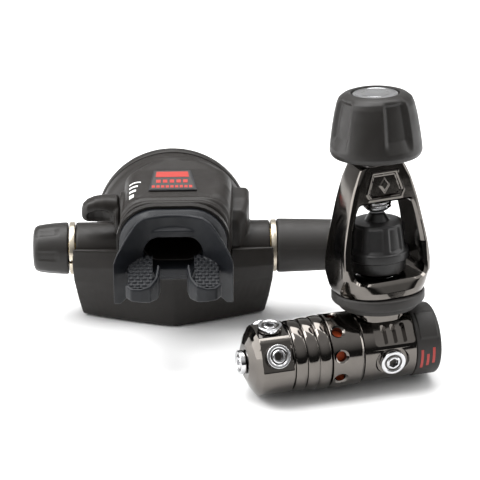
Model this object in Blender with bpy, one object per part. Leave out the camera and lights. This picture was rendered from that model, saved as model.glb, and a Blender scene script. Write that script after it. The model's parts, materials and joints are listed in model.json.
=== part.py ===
"""Scuba regulator set, in metres, +Z up, standing on the floor with its origin below its middle.

The first stage is drawn in its own frame: X runs along the body from the nose to the end cover,
Z is the yoke axis, and -Y is the front. The second stage is drawn in another: X runs along the
barrel to the hose side, -Y points to the diver, and the barrel's axis passes through the origin.
"""

import math

import bmesh
import bpy
from mathutils import Matrix, Vector

MM = 0.001
GAP = 0.3 * MM  # left between pieces that touch
FIT = 0.4 * MM  # radial clearance of a round piece in its bore
BIG_ROUND = 28  # sides of a large turned piece
SMALL_ROUND = 14  # sides of a plug or a screw
BORE = 18  # sides of inner turned pieces
CASE_SIDES = 36  # of the second stage's case and cover
PHASE = 0.3  # of a side, so that crossing round shapes share no corners

# Where the two stages stand
YAW = math.radians(14.5)  # the first stage's body, turned about the vertical
LEAN = math.radians(6.5)  # the yoke leans back about the body's axis
AXIS_HEIGHT = 17.95 * MM  # of the first stage's body
STAGE_SPACING = 94 * MM
STAGE_DEPTH = 72 * MM
BARREL_HEIGHT = 35.4 * MM

# First stage, along the body
BODY_R = 16.3 * MM
BODY_LEFT = -12 * MM
BODY_RIGHT = 12.8 * MM
BODY_WALL = 4 * MM
BARREL_LEFT = -45.2 * MM
BARREL_BORE_R = 13.5 * MM
BARREL_FLOOR = 2.2 * MM
RIB_R = 16.9 * MM
RIB_GROOVE_R = 15.3 * MM
RIB_PITCH = 5.6 * MM
RIB_COUNT = 3
RIB_MARGIN = 0.5 * MM
TURRET_LEFT = -60 * MM
TURRET_NOSE = -64.6 * MM
NOSE_R = 8 * MM
NOSE_BREAK = (12.8 * MM, -62.4 * MM)  # radius and place where the nose turns flatter
CHAMBER_R = 10 * MM
TURRET_WALL = 2.2 * MM
SEAT_BORE_R = 9.6 * MM
STEM_R = 4 * MM
BOLT_R = 6.5 * MM
BOLT_HOLE_R = BOLT_R + FIT
BOLT_BORE_R = 3.2 * MM
PISTON_TRAVEL = 0.8 * MM
AMBIENT_HOLES = 9
AMBIENT_HOLE_R = 2.4 * MM
AMBIENT_FIRST = math.radians(9.5)
AMBIENT_X = -23.4 * MM
FIN_ANGLE = math.radians(48)
FIN_X = 4.3 * MM
FIN_SLOTS = 3
FIN_PITCH = 5.4 * MM
FIN_SLOT = 2.6 * MM
FIN_HALF_LENGTH = 5.2 * MM
FIN_FLOOR = 14.6 * MM
COVER_LENGTH = 12.2 * MM
COVER_WALL = 2.6 * MM

# Ports and plugs
PORT_X = -52.8 * MM
PORT_ANGLES = {"top": 82, "front": 23, "rear": 141, "lower": 239}  # degrees up from the front
LOW_HOLE_R = 4.2 * MM
LOW_FLANGE_R = 5.5 * MM
LOW_SEAT = 14.7 * MM
HIGH_ANGLE = math.radians(-11)
HIGH_X = 1.0 * MM
HIGH_HOLE_R = 5.0 * MM
HIGH_FLANGE_R = 5.8 * MM
HIGH_SEAT = 15.2 * MM
FLANGE_THICK = 2.5 * MM
PLUG_ROOM = 1.2 * MM  # round each flange
SOCKET_R = 2.1 * MM
SOCKET_DEPTH = 1.6 * MM

# Up the yoke axis
BOSS_WIDE = BODY_RIGHT - BODY_LEFT - 1.2 * MM
BOSS_DEEP = 30 * MM
BOSS_CORNER = 9 * MM
BOSS_TOP = 19.4 * MM
COLLAR_R = 21.4 * MM
COLLAR_LOWER_R = 18 * MM
COLLAR_STEP = 22.7 * MM
YOKE_BASE = 27.8 * MM
YOKE_FLOOR = 31.5 * MM
YOKE_TOP = 88.0 * MM
YOKE_TURN = math.radians(7)  # the yoke is clamped slightly turned about its own axis
RETAINER_R = 8.0 * MM
RETAINER_FLANGE_R = 11 * MM
RETAINER_TOP = 36.5 * MM
CAP_BASE = 37.0 * MM
CAP_TOP = 63.8 * MM
SCREW_R = 6.6 * MM
SCREW_TIP = 64.9 * MM
SCREW_END = 113 * MM
KNOB_BASE = 90.5 * MM
KNOB_TOP = 119.4 * MM
KNOB_R = 20.9 * MM

# Yoke outline: height, width, depth and corner radius
YOKE_OUTLINE = (
    (YOKE_BASE, 41.5 * MM, 38 * MM, 18.8 * MM),
    (31 * MM, 44.5 * MM, 38 * MM, 18.5 * MM),
    (37 * MM, 44.5 * MM, 29 * MM, 13 * MM),
    (43 * MM, 44.0 * MM, 22 * MM, 7 * MM),
    (52 * MM, 42.0 * MM, 19.5 * MM, 5 * MM),
    (62 * MM, 37.6 * MM, 18.5 * MM, 5 * MM),
    (72 * MM, 33.4 * MM, 18 * MM, 4 * MM),
    (80 * MM, 28.6 * MM, 18 * MM, 4 * MM),
    (YOKE_TOP, 21.4 * MM, 17 * MM, 6 * MM),
)

# Second stage
HOUSING_R = 12.5 * MM
HOUSING_HALF = 47 * MM
HOUSING_BORE_R = 9.8 * MM
CASE_R = 36.8 * MM
CASE_UP = 4.4 * MM  # the case's axis above the barrel's
CASE_BACK = 20 * MM
CASE_INNER_R = 34.4 * MM
CASE_FLOOR = 5.5 * MM
NECK_END = -28.7 * MM
SPIGOT_END = -36 * MM
COVER_BACK = 31 * MM
BUTTON_R = 20.6 * MM
BUTTON_BACK = 34 * MM
RING_WIDTH = 2.6 * MM
KNOB2_LEFT = -67.5 * MM
KNOB2_RIGHT = -50.6 * MM
SLEEVE_END = 84 * MM
SLEEVE_R = 13.1 * MM
SLEEVE_END_R = 12.2 * MM
SLEEVE_BORE_R = 9.8 * MM
NUT_R = 9.3 * MM
NUT_END = 72 * MM
VENTURI_Y = -8 * MM
VENTURI_Z = 20.5 * MM
VENTURI_R = 9 * MM
NECK_LEFT = -22.4 * MM
TEE_TOP = 5 * MM
TEE_WALL = 1.8 * MM
VALVE_Z = -21.8 * MM
VALVE_R = 9.2 * MM
VALVE_HOLE_R = 7.9 * MM
SPINDLE_R = 3 * MM  # of the venturi lever and the adjusting screw
SHIELD_HALF = 27.5 * MM
SHIELD_T = 2.2 * MM

TO_X = Matrix.Rotation(math.radians(90), 4, "Y")  # turns a shape's Z axis to X
TO_Y = Matrix.Rotation(math.radians(-90), 4, "X")  # turns a shape's Z axis to Y


def clear_scene():
    for obj in list(bpy.data.objects):
        bpy.data.objects.remove(obj, do_unlink=True)


def material(name, colour, roughness, metallic=0.0):
    made = bpy.data.materials.new(name)
    made.use_nodes = True
    shader = made.node_tree.nodes["Principled BSDF"]
    shader.inputs["Base Color"].default_value = (*colour, 1)
    shader.inputs["Roughness"].default_value = roughness
    shader.inputs["Metallic"].default_value = metallic
    return made


def turned(profile, sides, place=None):
    """A profile of (radius, height) points turned about Z. Ends on the axis close it; else it is a ring."""
    place = place or Matrix()
    bm = bmesh.new()
    rings = []
    for radius, height in profile:
        count = 1 if radius == 0 else sides
        angles = [2 * math.pi * (i + PHASE) / sides for i in range(count)]
        ring = [Vector((radius * math.cos(a), radius * math.sin(a), height)) for a in angles]
        rings.append([bm.verts.new(place @ point) for point in ring])
    pairs = list(zip(rings, rings[1:]))
    if len(rings[0]) > 1:
        pairs.append((rings[-1], rings[0]))
    for low, high in pairs:
        for i in range(sides):
            j = (i + 1) % sides
            corners = [low[i % len(low)], low[j % len(low)], high[j % len(high)], high[i % len(high)]]
            corners = list(dict.fromkeys(corners))
            if len(corners) > 2:
                bm.faces.new(corners)
    bmesh.ops.recalc_face_normals(bm, faces=bm.faces)
    return bm


def disc(radius, low, high, sides=BORE, place=None):
    return turned([(0, low), (radius, low), (radius, high), (0, high)], sides, place)


def tube(inner, outer, low, high, sides=BORE, place=None):
    return turned([(inner, low), (outer, low), (outer, high), (inner, high)], sides, place)


def loft(sections, place=None):
    """Closed loops with the same number of points, joined one to the next by triangles and capped."""
    place = place or Matrix()
    bm = bmesh.new()
    loops = [[bm.verts.new(place @ Vector(point)) for point in section] for section in sections]
    count = len(loops[0])
    for low, high in zip(loops, loops[1:]):
        for i in range(count):
            j = (i + 1) % count
            bm.faces.new((low[i], low[j], high[j], high[i]))
    bmesh.ops.triangulate(bm, faces=bm.faces)
    bm.faces.new(loops[0])
    bm.faces.new(loops[-1])
    bmesh.ops.recalc_face_normals(bm, faces=bm.faces)
    return bm


def rounded(width, depth, radius, corner_steps=4, centre=(0, 0)):
    """Points round a rectangle with rounded corners."""
    points = []
    for quarter in range(4):
        sx = (1, -1, -1, 1)[quarter]
        sy = (1, 1, -1, -1)[quarter]
        middle = (sx * (width / 2 - radius) + centre[0], sy * (depth / 2 - radius) + centre[1])
        for i in range(corner_steps + 1):
            angle = math.pi / 2 * (quarter + i / corner_steps)
            points.append((middle[0] + radius * math.cos(angle), middle[1] + radius * math.sin(angle)))
    return points


def block(low, high):
    """A box between two opposite corners."""
    (x0, y0, z0), (x1, y1, z1) = low, high
    outline = ((x0, y0), (x1, y0), (x1, y1), (x0, y1))
    return loft([[(x, y, z) for x, y in outline] for z in (z0, z1)])


def coil(radius, wire, low, high, turns, steps=9, sides=4, place=None):
    """A round wire wound about Z from low to high."""
    place = place or Matrix()
    count = int(turns * steps) + 1
    rise = high - low
    sections = []
    for k in range(count):
        angle = 2 * math.pi * turns * k / (count - 1)
        out = Vector((math.cos(angle), math.sin(angle), 0))
        climb = rise / (2 * math.pi * turns * radius)
        along = Vector((-math.sin(angle), math.cos(angle), climb)).normalized()
        up = along.cross(out)
        middle = out * radius + Vector((0, 0, low + rise * k / (count - 1)))
        turn = [2 * math.pi * i / sides for i in range(sides)]
        sections.append([middle + wire * (math.cos(t) * out + math.sin(t) * up) for t in turn])
    return loft(sections, place)


def node(name, bm, look, parent, origin=(0, 0, 0), sharp=30):
    """The mesh as a named object under its stage's frame, with its own origin on the joint's axis."""
    mesh = bpy.data.meshes.new(name)
    bm.transform(Matrix.Translation(-Vector(origin)))
    bm.to_mesh(mesh)
    bm.free()
    mesh.shade_smooth()
    mesh.set_sharp_from_angle(angle=math.radians(sharp))
    mesh.materials.append(look)
    obj = bpy.data.objects.new(name, mesh)
    bpy.context.collection.objects.link(obj)
    obj.location = origin
    obj.parent = parent
    return obj


def boolean(obj, bm, operation, solver):
    """Joins or cuts an object with a hidden shape drawn in the same frame."""
    mesh = bpy.data.meshes.new(obj.name + ".tool")
    bm.to_mesh(mesh)
    bm.free()
    tool = bpy.data.objects.new(obj.name + ".tool", mesh)
    bpy.context.collection.objects.link(tool)
    tool.parent = obj.parent
    tool.hide_render = True
    tool.display_type = "WIRE"
    modifier = obj.modifiers.new(operation.lower(), "BOOLEAN")
    modifier.operation = operation
    modifier.solver = solver
    modifier.object = tool


def cut(obj, *tools, solver="EXACT"):
    for tool in tools:
        boolean(obj, tool, "DIFFERENCE", solver)


def join(obj, *tools, solver="EXACT"):
    for tool in tools:
        boolean(obj, tool, "UNION", solver)


def empty(name, parent=None):
    made = bpy.data.objects.new(name, None)
    bpy.context.collection.objects.link(made)
    made.parent = parent
    return made


def around_body(angle, x):
    """A frame whose Z points out of the first stage's body at this angle up from its front."""
    return Matrix.Translation((x, 0, 0)) @ Matrix.Rotation(math.pi / 2 - angle, 4, "X")


clear_scene()
CHROME = material("bright_chrome", (0.82, 0.82, 0.84), 0.12, 1)
BLACK_CHROME = material("black_chrome", (0.30, 0.29, 0.28), 0.14, 1)
SATIN_RING = material("satin_ring", (0.80, 0.70, 0.52), 0.35, 1)
BRASS = material("brass", (0.72, 0.55, 0.28), 0.3, 1)
STEEL = material("spring_steel", (0.6, 0.6, 0.62), 0.3, 1)
PLASTIC = material("case_plastic", (0.055, 0.047, 0.042), 0.5)
SOFT_BLACK = material("soft_black", (0.035, 0.033, 0.032), 0.55)
RUBBER = material("rubber", (0.03, 0.03, 0.032), 0.7)
SILICONE = material("silicone", (0.035, 0.038, 0.045), 0.55)
ORANGE = material("orange_plastic", (0.75, 0.12, 0.03), 0.45)
SEAT_PLASTIC = material("seat_plastic", (0.8, 0.78, 0.7), 0.4)

first_stage = empty("first_stage_frame")
second_stage = empty("second_stage_frame")


# ---- First stage: body, barrel and turret ----

body = node(
    "main_body",
    turned(
        [
            (0, BODY_LEFT), (BODY_R - 0.5 * MM, BODY_LEFT), (BODY_R, BODY_LEFT + 0.5 * MM),
            (BODY_R, BODY_RIGHT), (BODY_R - COVER_WALL - GAP, BODY_RIGHT),
            (BODY_R - COVER_WALL - GAP, BODY_RIGHT + COVER_LENGTH - COVER_WALL - GAP),
            (0, BODY_RIGHT + COVER_LENGTH - COVER_WALL - GAP),
        ],
        BIG_ROUND, TO_X,
    ),
    BLACK_CHROME, first_stage,
)  # fmt: skip
SEAT_END = BODY_RIGHT + COVER_LENGTH - COVER_WALL - 2 * GAP
boss_outline = rounded(BOSS_WIDE, BOSS_DEEP, BOSS_CORNER)
join(body, loft([[(x, y, z) for x, y in boss_outline] for z in (4 * MM, BOSS_TOP)]))
cut(
    body,
    disc(SEAT_BORE_R, BODY_LEFT + BODY_WALL, 40 * MM, BORE, TO_X),
    disc(STEM_R + FIT, -20 * MM, 0, BORE, TO_X),
    disc(RETAINER_R + FIT, SEAT_BORE_R * 0.5, 30 * MM, BORE),
)
for side, angle in (("front", HIGH_ANGLE), ("rear", math.pi - HIGH_ANGLE)):
    frame = around_body(angle, HIGH_X)
    cut(
        body,
        disc(HIGH_FLANGE_R + PLUG_ROOM, HIGH_SEAT, 30 * MM, BORE, frame),
        disc(HIGH_HOLE_R, SEAT_BORE_R * 0.6, 30 * MM, SMALL_ROUND, frame),
    )
FIN_FRAME = around_body(FIN_ANGLE, FIN_X)
for k in range(FIN_SLOTS):
    fin_x = (k - (FIN_SLOTS - 1) / 2) * FIN_PITCH
    left, right = fin_x - FIN_SLOT / 2, fin_x + FIN_SLOT / 2
    slot = block((left, -FIN_HALF_LENGTH, FIN_FLOOR), (right, FIN_HALF_LENGTH, 25 * MM))
    slot.transform(FIN_FRAME)
    cut(body, slot)

barrel_profile = [(BOLT_HOLE_R, BARREL_LEFT), (RIB_GROOVE_R, BARREL_LEFT)]
for k in range(RIB_COUNT):
    left = BARREL_LEFT + RIB_MARGIN + k * RIB_PITCH
    barrel_profile += [
        (RIB_R - 0.4 * MM, left + 0.7 * MM), (RIB_R, left + 0.5 * RIB_PITCH),
        (RIB_R - 0.4 * MM, left + RIB_PITCH - 0.9 * MM), (RIB_GROOVE_R, left + RIB_PITCH - 0.1 * MM),
    ]  # fmt: skip
RIBS_RIGHT = BARREL_LEFT + RIB_MARGIN + RIB_COUNT * RIB_PITCH
barrel_profile += [
    (BODY_R, RIBS_RIGHT + 0.5 * MM), (BODY_R, BODY_LEFT - GAP), (BARREL_BORE_R, BODY_LEFT - GAP),
    (BARREL_BORE_R, BARREL_LEFT + BARREL_FLOOR), (BOLT_HOLE_R, BARREL_LEFT + BARREL_FLOOR),
]  # fmt: skip
barrel = node("spring_barrel", turned(barrel_profile, BIG_ROUND, TO_X), BLACK_CHROME, first_stage)
for k in range(AMBIENT_HOLES):
    frame = around_body(AMBIENT_FIRST + 2 * math.pi * k / AMBIENT_HOLES, AMBIENT_X)
    cut(barrel, disc(AMBIENT_HOLE_R, 9 * MM, 25 * MM, 10, frame))

TURRET_RIGHT = BARREL_LEFT - GAP
turret = node(
    "turret",
    turned(
        [
            (BOLT_HOLE_R, TURRET_RIGHT), (BODY_R - 0.4 * MM, TURRET_RIGHT),
            (BODY_R, TURRET_RIGHT - 0.4 * MM),
            (BODY_R, TURRET_LEFT), NOSE_BREAK, (NOSE_R, TURRET_NOSE),
            (LOW_HOLE_R, TURRET_NOSE), (LOW_HOLE_R, TURRET_LEFT), (CHAMBER_R, TURRET_LEFT + 1.5 * MM),
            (CHAMBER_R, TURRET_RIGHT - TURRET_WALL), (BOLT_HOLE_R, TURRET_RIGHT - TURRET_WALL),
        ],
        BIG_ROUND, TO_X,
    ),
    BLACK_CHROME, first_stage,
)  # fmt: skip
for angle in PORT_ANGLES.values():
    frame = around_body(math.radians(angle), PORT_X)
    cut(
        turret,
        disc(LOW_FLANGE_R + PLUG_ROOM, LOW_SEAT, 25 * MM, BORE, frame),
        disc(LOW_HOLE_R, CHAMBER_R * 0.7, 25 * MM, SMALL_ROUND, frame),
    )

FLANGE_LEFT = TURRET_RIGHT - TURRET_WALL - GAP
node(
    "turret_bolt",
    turned(
        [
            (BOLT_BORE_R, FLANGE_LEFT - 2 * MM), (CHAMBER_R - 1 * MM, FLANGE_LEFT - 2 * MM),
            (CHAMBER_R - 1 * MM, FLANGE_LEFT), (BOLT_R, FLANGE_LEFT),
            (BOLT_R, BARREL_LEFT + BARREL_FLOOR), (BOLT_BORE_R, BARREL_LEFT + BARREL_FLOOR),
        ],
        BORE, TO_X,
    ),
    BRASS, first_stage,
)  # fmt: skip

# ---- First stage: piston, spring, seat and end cover ----

HEAD_LEFT = BARREL_LEFT + BARREL_FLOOR + GAP
HEAD_RIGHT = HEAD_LEFT + 4 * MM
HEAD_R = BARREL_BORE_R - FIT
STEM_END = 2 * MM
RING_DEPTH = 1.2 * MM
node(
    "piston",
    turned(
        [
            (2 * MM, HEAD_LEFT), (HEAD_R, HEAD_LEFT), (HEAD_R, HEAD_LEFT + 1.1 * MM),
            (HEAD_R - RING_DEPTH, HEAD_LEFT + 1.1 * MM), (HEAD_R - RING_DEPTH, HEAD_RIGHT - 1.1 * MM),
            (HEAD_R, HEAD_RIGHT - 1.1 * MM), (HEAD_R, HEAD_RIGHT), (STEM_R, HEAD_RIGHT),
            (STEM_R, STEM_END), (2 * MM, STEM_END),
        ],
        BORE, TO_X,
    ),
    STEEL, first_stage,
)  # fmt: skip
node(
    "piston_o_ring",
    tube(
        HEAD_R - RING_DEPTH + 0.1 * MM, HEAD_R + 0.1 * MM, HEAD_LEFT + 1.3 * MM, HEAD_RIGHT - 1.3 * MM,
        BORE, TO_X
    ),
    RUBBER, first_stage,
)  # fmt: skip
SPRING_LEFT = HEAD_RIGHT + PISTON_TRAVEL + 1.8 * MM
main_spring = coil(9.9 * MM, 1.3 * MM, SPRING_LEFT, BODY_LEFT - 2 * MM, 5, place=TO_X)
node("main_spring", main_spring, STEEL, first_stage)
node(
    "spring_sleeve",
    tube(BARREL_BORE_R - 1.5 * MM, BARREL_BORE_R - FIT, HEAD_RIGHT + 2 * MM, BODY_LEFT - 1 * MM, BORE, TO_X),
    ORANGE, first_stage,
)  # fmt: skip
SEAT_LEFT = STEM_END + PISTON_TRAVEL + GAP
SEAT_RIGHT = SEAT_LEFT + 2.6 * MM
node("high_pressure_seat", disc(5 * MM, SEAT_LEFT, SEAT_RIGHT, BORE, TO_X), SEAT_PLASTIC, first_stage)
seat_plug = node(
    "seat_plug", disc(SEAT_BORE_R - FIT, SEAT_RIGHT + GAP, SEAT_END, BORE, TO_X), CHROME, first_stage
)
cut(seat_plug, disc(4 * MM, SEAT_END - 5 * MM, SEAT_END + 5 * MM, 6, TO_X))
COVER_END = BODY_RIGHT + GAP + COVER_LENGTH
node(
    "end_cover",
    turned(
        [
            (0, COVER_END - COVER_WALL), (BODY_R - COVER_WALL, COVER_END - COVER_WALL),
            (BODY_R - COVER_WALL, BODY_RIGHT + GAP), (BODY_R + 0.3 * MM, BODY_RIGHT + GAP),
            (BODY_R + 0.3 * MM, COVER_END - 2.5 * MM), (BODY_R - 0.6 * MM, COVER_END - 0.8 * MM),
            (BODY_R - 2.4 * MM, COVER_END), (0, COVER_END),
        ],
        BIG_ROUND, TO_X,
    ),
    RUBBER, first_stage,
)  # fmt: skip


def plug(name, frame, shaft_r, shaft_low, seat, flange_r):
    """A port plug: a threaded shaft, a round flange on its seat and a hex socket."""
    top = seat + GAP + FLANGE_THICK
    shape = turned(
        [
            (0, shaft_low), (shaft_r, shaft_low), (shaft_r, seat + GAP), (flange_r, seat + GAP),
            (flange_r, top - 0.6 * MM), (flange_r - 0.6 * MM, top), (0, top),
        ],
        SMALL_ROUND,
    )  # fmt: skip
    shape.transform(frame)
    made = node(name, shape, CHROME, first_stage)
    cut(made, disc(SOCKET_R, top - SOCKET_DEPTH, top + 5 * MM, 6, frame))
    return made


for place, angle in PORT_ANGLES.items():
    frame = around_body(math.radians(angle), PORT_X)
    plug(f"low_pressure_plug_{place}", frame, LOW_HOLE_R - FIT, CHAMBER_R + 0.6 * MM, LOW_SEAT, LOW_FLANGE_R)
NOSE_FRAME = Matrix.Rotation(math.radians(-90), 4, "Y")
plug(
    "low_pressure_plug_nose", NOSE_FRAME, LOW_HOLE_R - FIT, -TURRET_LEFT - 0.5 * MM, -TURRET_NOSE,
    LOW_FLANGE_R
)  # fmt: skip
for side, angle in (("front", HIGH_ANGLE), ("rear", math.pi - HIGH_ANGLE)):
    plug(
        f"high_pressure_plug_{side}", around_body(angle, HIGH_X),
        HIGH_HOLE_R - FIT, SEAT_BORE_R + 0.8 * MM, HIGH_SEAT, HIGH_FLANGE_R,
    )  # fmt: skip

# ---- First stage: collar, yoke, retainer, dust cap, screw and knob ----

node(
    "yoke_collar",
    turned(
        [
            (RETAINER_R + FIT, BOSS_TOP + GAP), (COLLAR_LOWER_R, BOSS_TOP + GAP),
            (COLLAR_LOWER_R, COLLAR_STEP),
            (COLLAR_R, COLLAR_STEP + 0.6 * MM), (COLLAR_R, YOKE_BASE - 1 * MM),
            (COLLAR_R - 0.7 * MM, YOKE_BASE - GAP),
            (RETAINER_R + FIT, YOKE_BASE - GAP),
        ],
        BIG_ROUND,
    ),
    RUBBER, first_stage,
)  # fmt: skip



def yoke_point(x, y, z):
    """A point of the yoke, turned about its axis from square to the way it is clamped."""
    cosine, sine = math.cos(YOKE_TURN), math.sin(YOKE_TURN)
    return (x * cosine - y * sine, x * sine + y * cosine, z)


yoke = node(
    "yoke",
    loft([[yoke_point(x, y, z) for x, y in rounded(w, d, r, 4)] for z, w, d, r in YOKE_OUTLINE]),
    BLACK_CHROME, first_stage, sharp=40,
)  # fmt: skip


def mirrored(half, low, high):
    """An opening in the yoke seen from its front: its right half in millimetres, between two depths."""
    outline = list(half) + [(-x, z) for x, z in reversed(half)]
    return loft([[yoke_point(x * MM, y, z * MM) for x, z in outline] for y in (low, high)])


WINDOW = ((15.8, 34.6), (17.8, 37), (17.4, 50), (15.6, 61), (13.8, 68.2), (12.4, 70.4))
BADGE = ((6.5, 72.5), (8.3, 75), (4.8, 84.5))
cut(
    yoke,
    mirrored(WINDOW, -30 * MM, 30 * MM),
    disc(RETAINER_R + FIT, YOKE_BASE - 2 * MM, YOKE_FLOOR + 2 * MM, BORE),
    disc(RETAINER_FLANGE_R + FIT, YOKE_FLOOR, YOKE_FLOOR + 6 * MM, BORE),
    disc(SCREW_R + FIT, 65 * MM, YOKE_TOP + 5 * MM, BORE),
)
cut(yoke, mirrored(BADGE, -20 * MM, -8.3 * MM))

node(
    "yoke_retainer",
    turned(
        [
            (3.6 * MM, 13 * MM), (RETAINER_R, 13 * MM), (RETAINER_R, YOKE_FLOOR + GAP),
            (RETAINER_FLANGE_R, YOKE_FLOOR + GAP),
            (RETAINER_FLANGE_R, YOKE_FLOOR + 2.4 * MM), (8.8 * MM, YOKE_FLOOR + 3 * MM),
            (8.8 * MM, RETAINER_TOP),
            (7.6 * MM, RETAINER_TOP), (7.6 * MM, RETAINER_TOP - 1.6 * MM),
            (5.4 * MM, RETAINER_TOP - 1.6 * MM),
            (5.4 * MM, RETAINER_TOP), (4.4 * MM, RETAINER_TOP), (4.4 * MM, 30 * MM), (3.6 * MM, 29.5 * MM),
        ],
        BORE,
    ),
    CHROME, first_stage,
)  # fmt: skip
node(
    "retainer_o_ring",
    tube(5.7 * MM, 7.3 * MM, RETAINER_TOP - 1.3 * MM, RETAINER_TOP + 0.15 * MM), RUBBER, first_stage,
)  # fmt: skip
node("inlet_filter", turned([(0, 30.3 * MM), (4 * MM, 30.3 * MM), (0, 35.5 * MM)], BORE), BRASS, first_stage)

CAP_SIDES = 8
cap_levels = (
    (CAP_BASE, 12.6 * MM, 0), (CAP_BASE + 5.6 * MM, 13.0 * MM, 0), (CAP_BASE + 6 * MM, 14.2 * MM, 0),
    (46.6 * MM, 14.2 * MM, 0), (47.2 * MM, 13.4 * MM, 0.5 * MM), (58.6 * MM, 11.8 * MM, 0.6 * MM),
    (59.6 * MM, 10.6 * MM, 0.2 * MM), (59.8 * MM, 5.4 * MM, 0), (CAP_TOP, 3.4 * MM, 0),
)  # fmt: skip
cap_sections = []
for height, radius, hollow in cap_levels:
    loop = []
    for i in range(32):
        angle = 2 * math.pi * i / 32
        reach = radius - hollow * (1 - math.cos(CAP_SIDES * angle))
        loop.append((reach * math.cos(angle), reach * math.sin(angle), height))
    cap_sections.append(loop)
node("dust_cap", loft(cap_sections), SOFT_BLACK, first_stage)

node(
    "yoke_screw",
    turned(
        [
            (0, SCREW_TIP), (3.6 * MM, SCREW_TIP), (SCREW_R, SCREW_TIP + 1.6 * MM), (SCREW_R, SCREW_END),
            (0, SCREW_END),
        ],
        BORE,
    ),
    CHROME, first_stage,
)  # fmt: skip
BADGE_R = 10.4 * MM
knob_levels = (
    (KNOB_BASE, 17.8 * MM, 0), (KNOB_BASE + 1.2 * MM, 20.2 * MM, 0), (KNOB_BASE + 3 * MM, KNOB_R, 0),
    (96 * MM, 20.6 * MM, 0.3 * MM), (101 * MM, 20.0 * MM, 1.3 * MM), (112 * MM, 18.0 * MM, 1.1 * MM),
    (117 * MM, 16.6 * MM, 0.3 * MM), (KNOB_TOP - 0.6 * MM, 13.4 * MM, 0), (KNOB_TOP, 11.8 * MM, 0),
    (KNOB_TOP, BADGE_R + FIT, 0), (KNOB_TOP - 1.4 * MM, BADGE_R + FIT, 0),
)  # fmt: skip
KNOB_RECESSES = 4
knob_sections = []
for height, radius, hollow in knob_levels:
    loop = []
    for i in range(32):
        angle = 2 * math.pi * i / 32
        bump = min(1, max(0, 0.5 + 1.2 * math.cos(KNOB_RECESSES * angle)))
        reach = radius - hollow * bump
        loop.append((reach * math.cos(angle), reach * math.sin(angle), height))
    knob_sections.append(loop)
knob = node("yoke_knob", loft(knob_sections), SOFT_BLACK, first_stage)
cut(knob, disc(SCREW_R + FIT, 80 * MM, 113 * MM + GAP, BORE))
node("knob_badge", disc(BADGE_R, KNOB_TOP - 1.1 * MM, KNOB_TOP - 0.3 * MM, BIG_ROUND), CHROME, first_stage)


# ---- Second stage: case ----

CASE_AXIS = Matrix.Translation((0, 0, CASE_UP)) @ TO_Y


def case_outline(grow):
    """The drum and its dome towards the diver, about the case's axis, a clearance larger if asked."""
    return [
        (0, -1 * MM - grow), (22 * MM, 0 - grow), (30 * MM + grow, 3.4 * MM - grow),
        (35 * MM + grow, 9 * MM - grow),
        (CASE_R + grow, 14 * MM), (CASE_R + grow, CASE_BACK), (0, CASE_BACK),
    ]  # fmt: skip


NECK_SECTIONS = (
    # y, left, right, low, high, corner radius
    (4 * MM, NECK_LEFT - 0.6 * MM, 29 * MM, -13 * MM, 39.0 * MM, 8 * MM),
    (-10 * MM, NECK_LEFT, 28 * MM, -9 * MM, 37.6 * MM, 9 * MM),
    (-20 * MM, NECK_LEFT - 1.2 * MM, 27 * MM, -3 * MM, 36.4 * MM, 12 * MM),
    (NECK_END, NECK_LEFT - 2.6 * MM, 25.6 * MM, 0 * MM, 35.2 * MM, 15 * MM),
)


def neck(sections, grow=0.0):
    loops = []
    for y, left, right, low, high, corner in sections:
        outline = rounded(
            right - left + 2 * grow, high - low + 2 * grow, corner + grow, 4,
            ((left + right) / 2, (low + high) / 2)
        )
        loops.append([(x, y, z) for x, z in outline])
    return loft(loops)


case = node("case", turned(case_outline(0), CASE_SIDES, CASE_AXIS), PLASTIC, second_stage)
SPIGOT_OUTLINE = (-22.4 * MM, 22.4 * MM, 2.4 * MM, 32.8 * MM, 14.5 * MM)  # left, right, low, high, corner
AIRWAY_INNER = (-13 * MM, 13 * MM, 14.5 * MM, 30.5 * MM, 7 * MM)
AIRWAY_MOUTH = (-13.7 * MM, 13.7 * MM, 9.7 * MM, 25.7 * MM, 7.5 * MM)
SPIGOT = ((NECK_END + 2 * MM, *SPIGOT_OUTLINE), (SPIGOT_END, *SPIGOT_OUTLINE))
AIRWAY = ((12 * MM, *AIRWAY_INNER), (SPIGOT_END - 5 * MM, *AIRWAY_MOUTH))
VALVE_FACE = -0.8 * MM
join(
    case, disc(HOUSING_R, -HOUSING_HALF, HOUSING_HALF, BIG_ROUND, TO_X), neck(NECK_SECTIONS), neck(SPIGOT),
    solver="MANIFOLD",
)  # fmt: skip
cut(
    case,
    disc(CASE_INNER_R, CASE_FLOOR, CASE_BACK + 5 * MM, CASE_SIDES, CASE_AXIS),
    disc(HOUSING_BORE_R, -60 * MM, 60 * MM, BORE, TO_X),
    neck(AIRWAY),
    disc(VALVE_HOLE_R, -10 * MM, 10 * MM, SMALL_ROUND, Matrix.Translation((0, 0, VALVE_Z)) @ TO_Y),
    disc(VALVE_R + 0.8 * MM, -12 * MM, VALVE_FACE, BORE, Matrix.Translation((0, 0, VALVE_Z)) @ TO_Y),
    disc(SPINDLE_R + FIT, -40 * MM, -10 * MM, 12, Matrix.Translation((0, VENTURI_Y, VENTURI_Z)) @ TO_X),
    solver="MANIFOLD",
)

# ---- Second stage: diaphragm, cover and purge button ----

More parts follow.
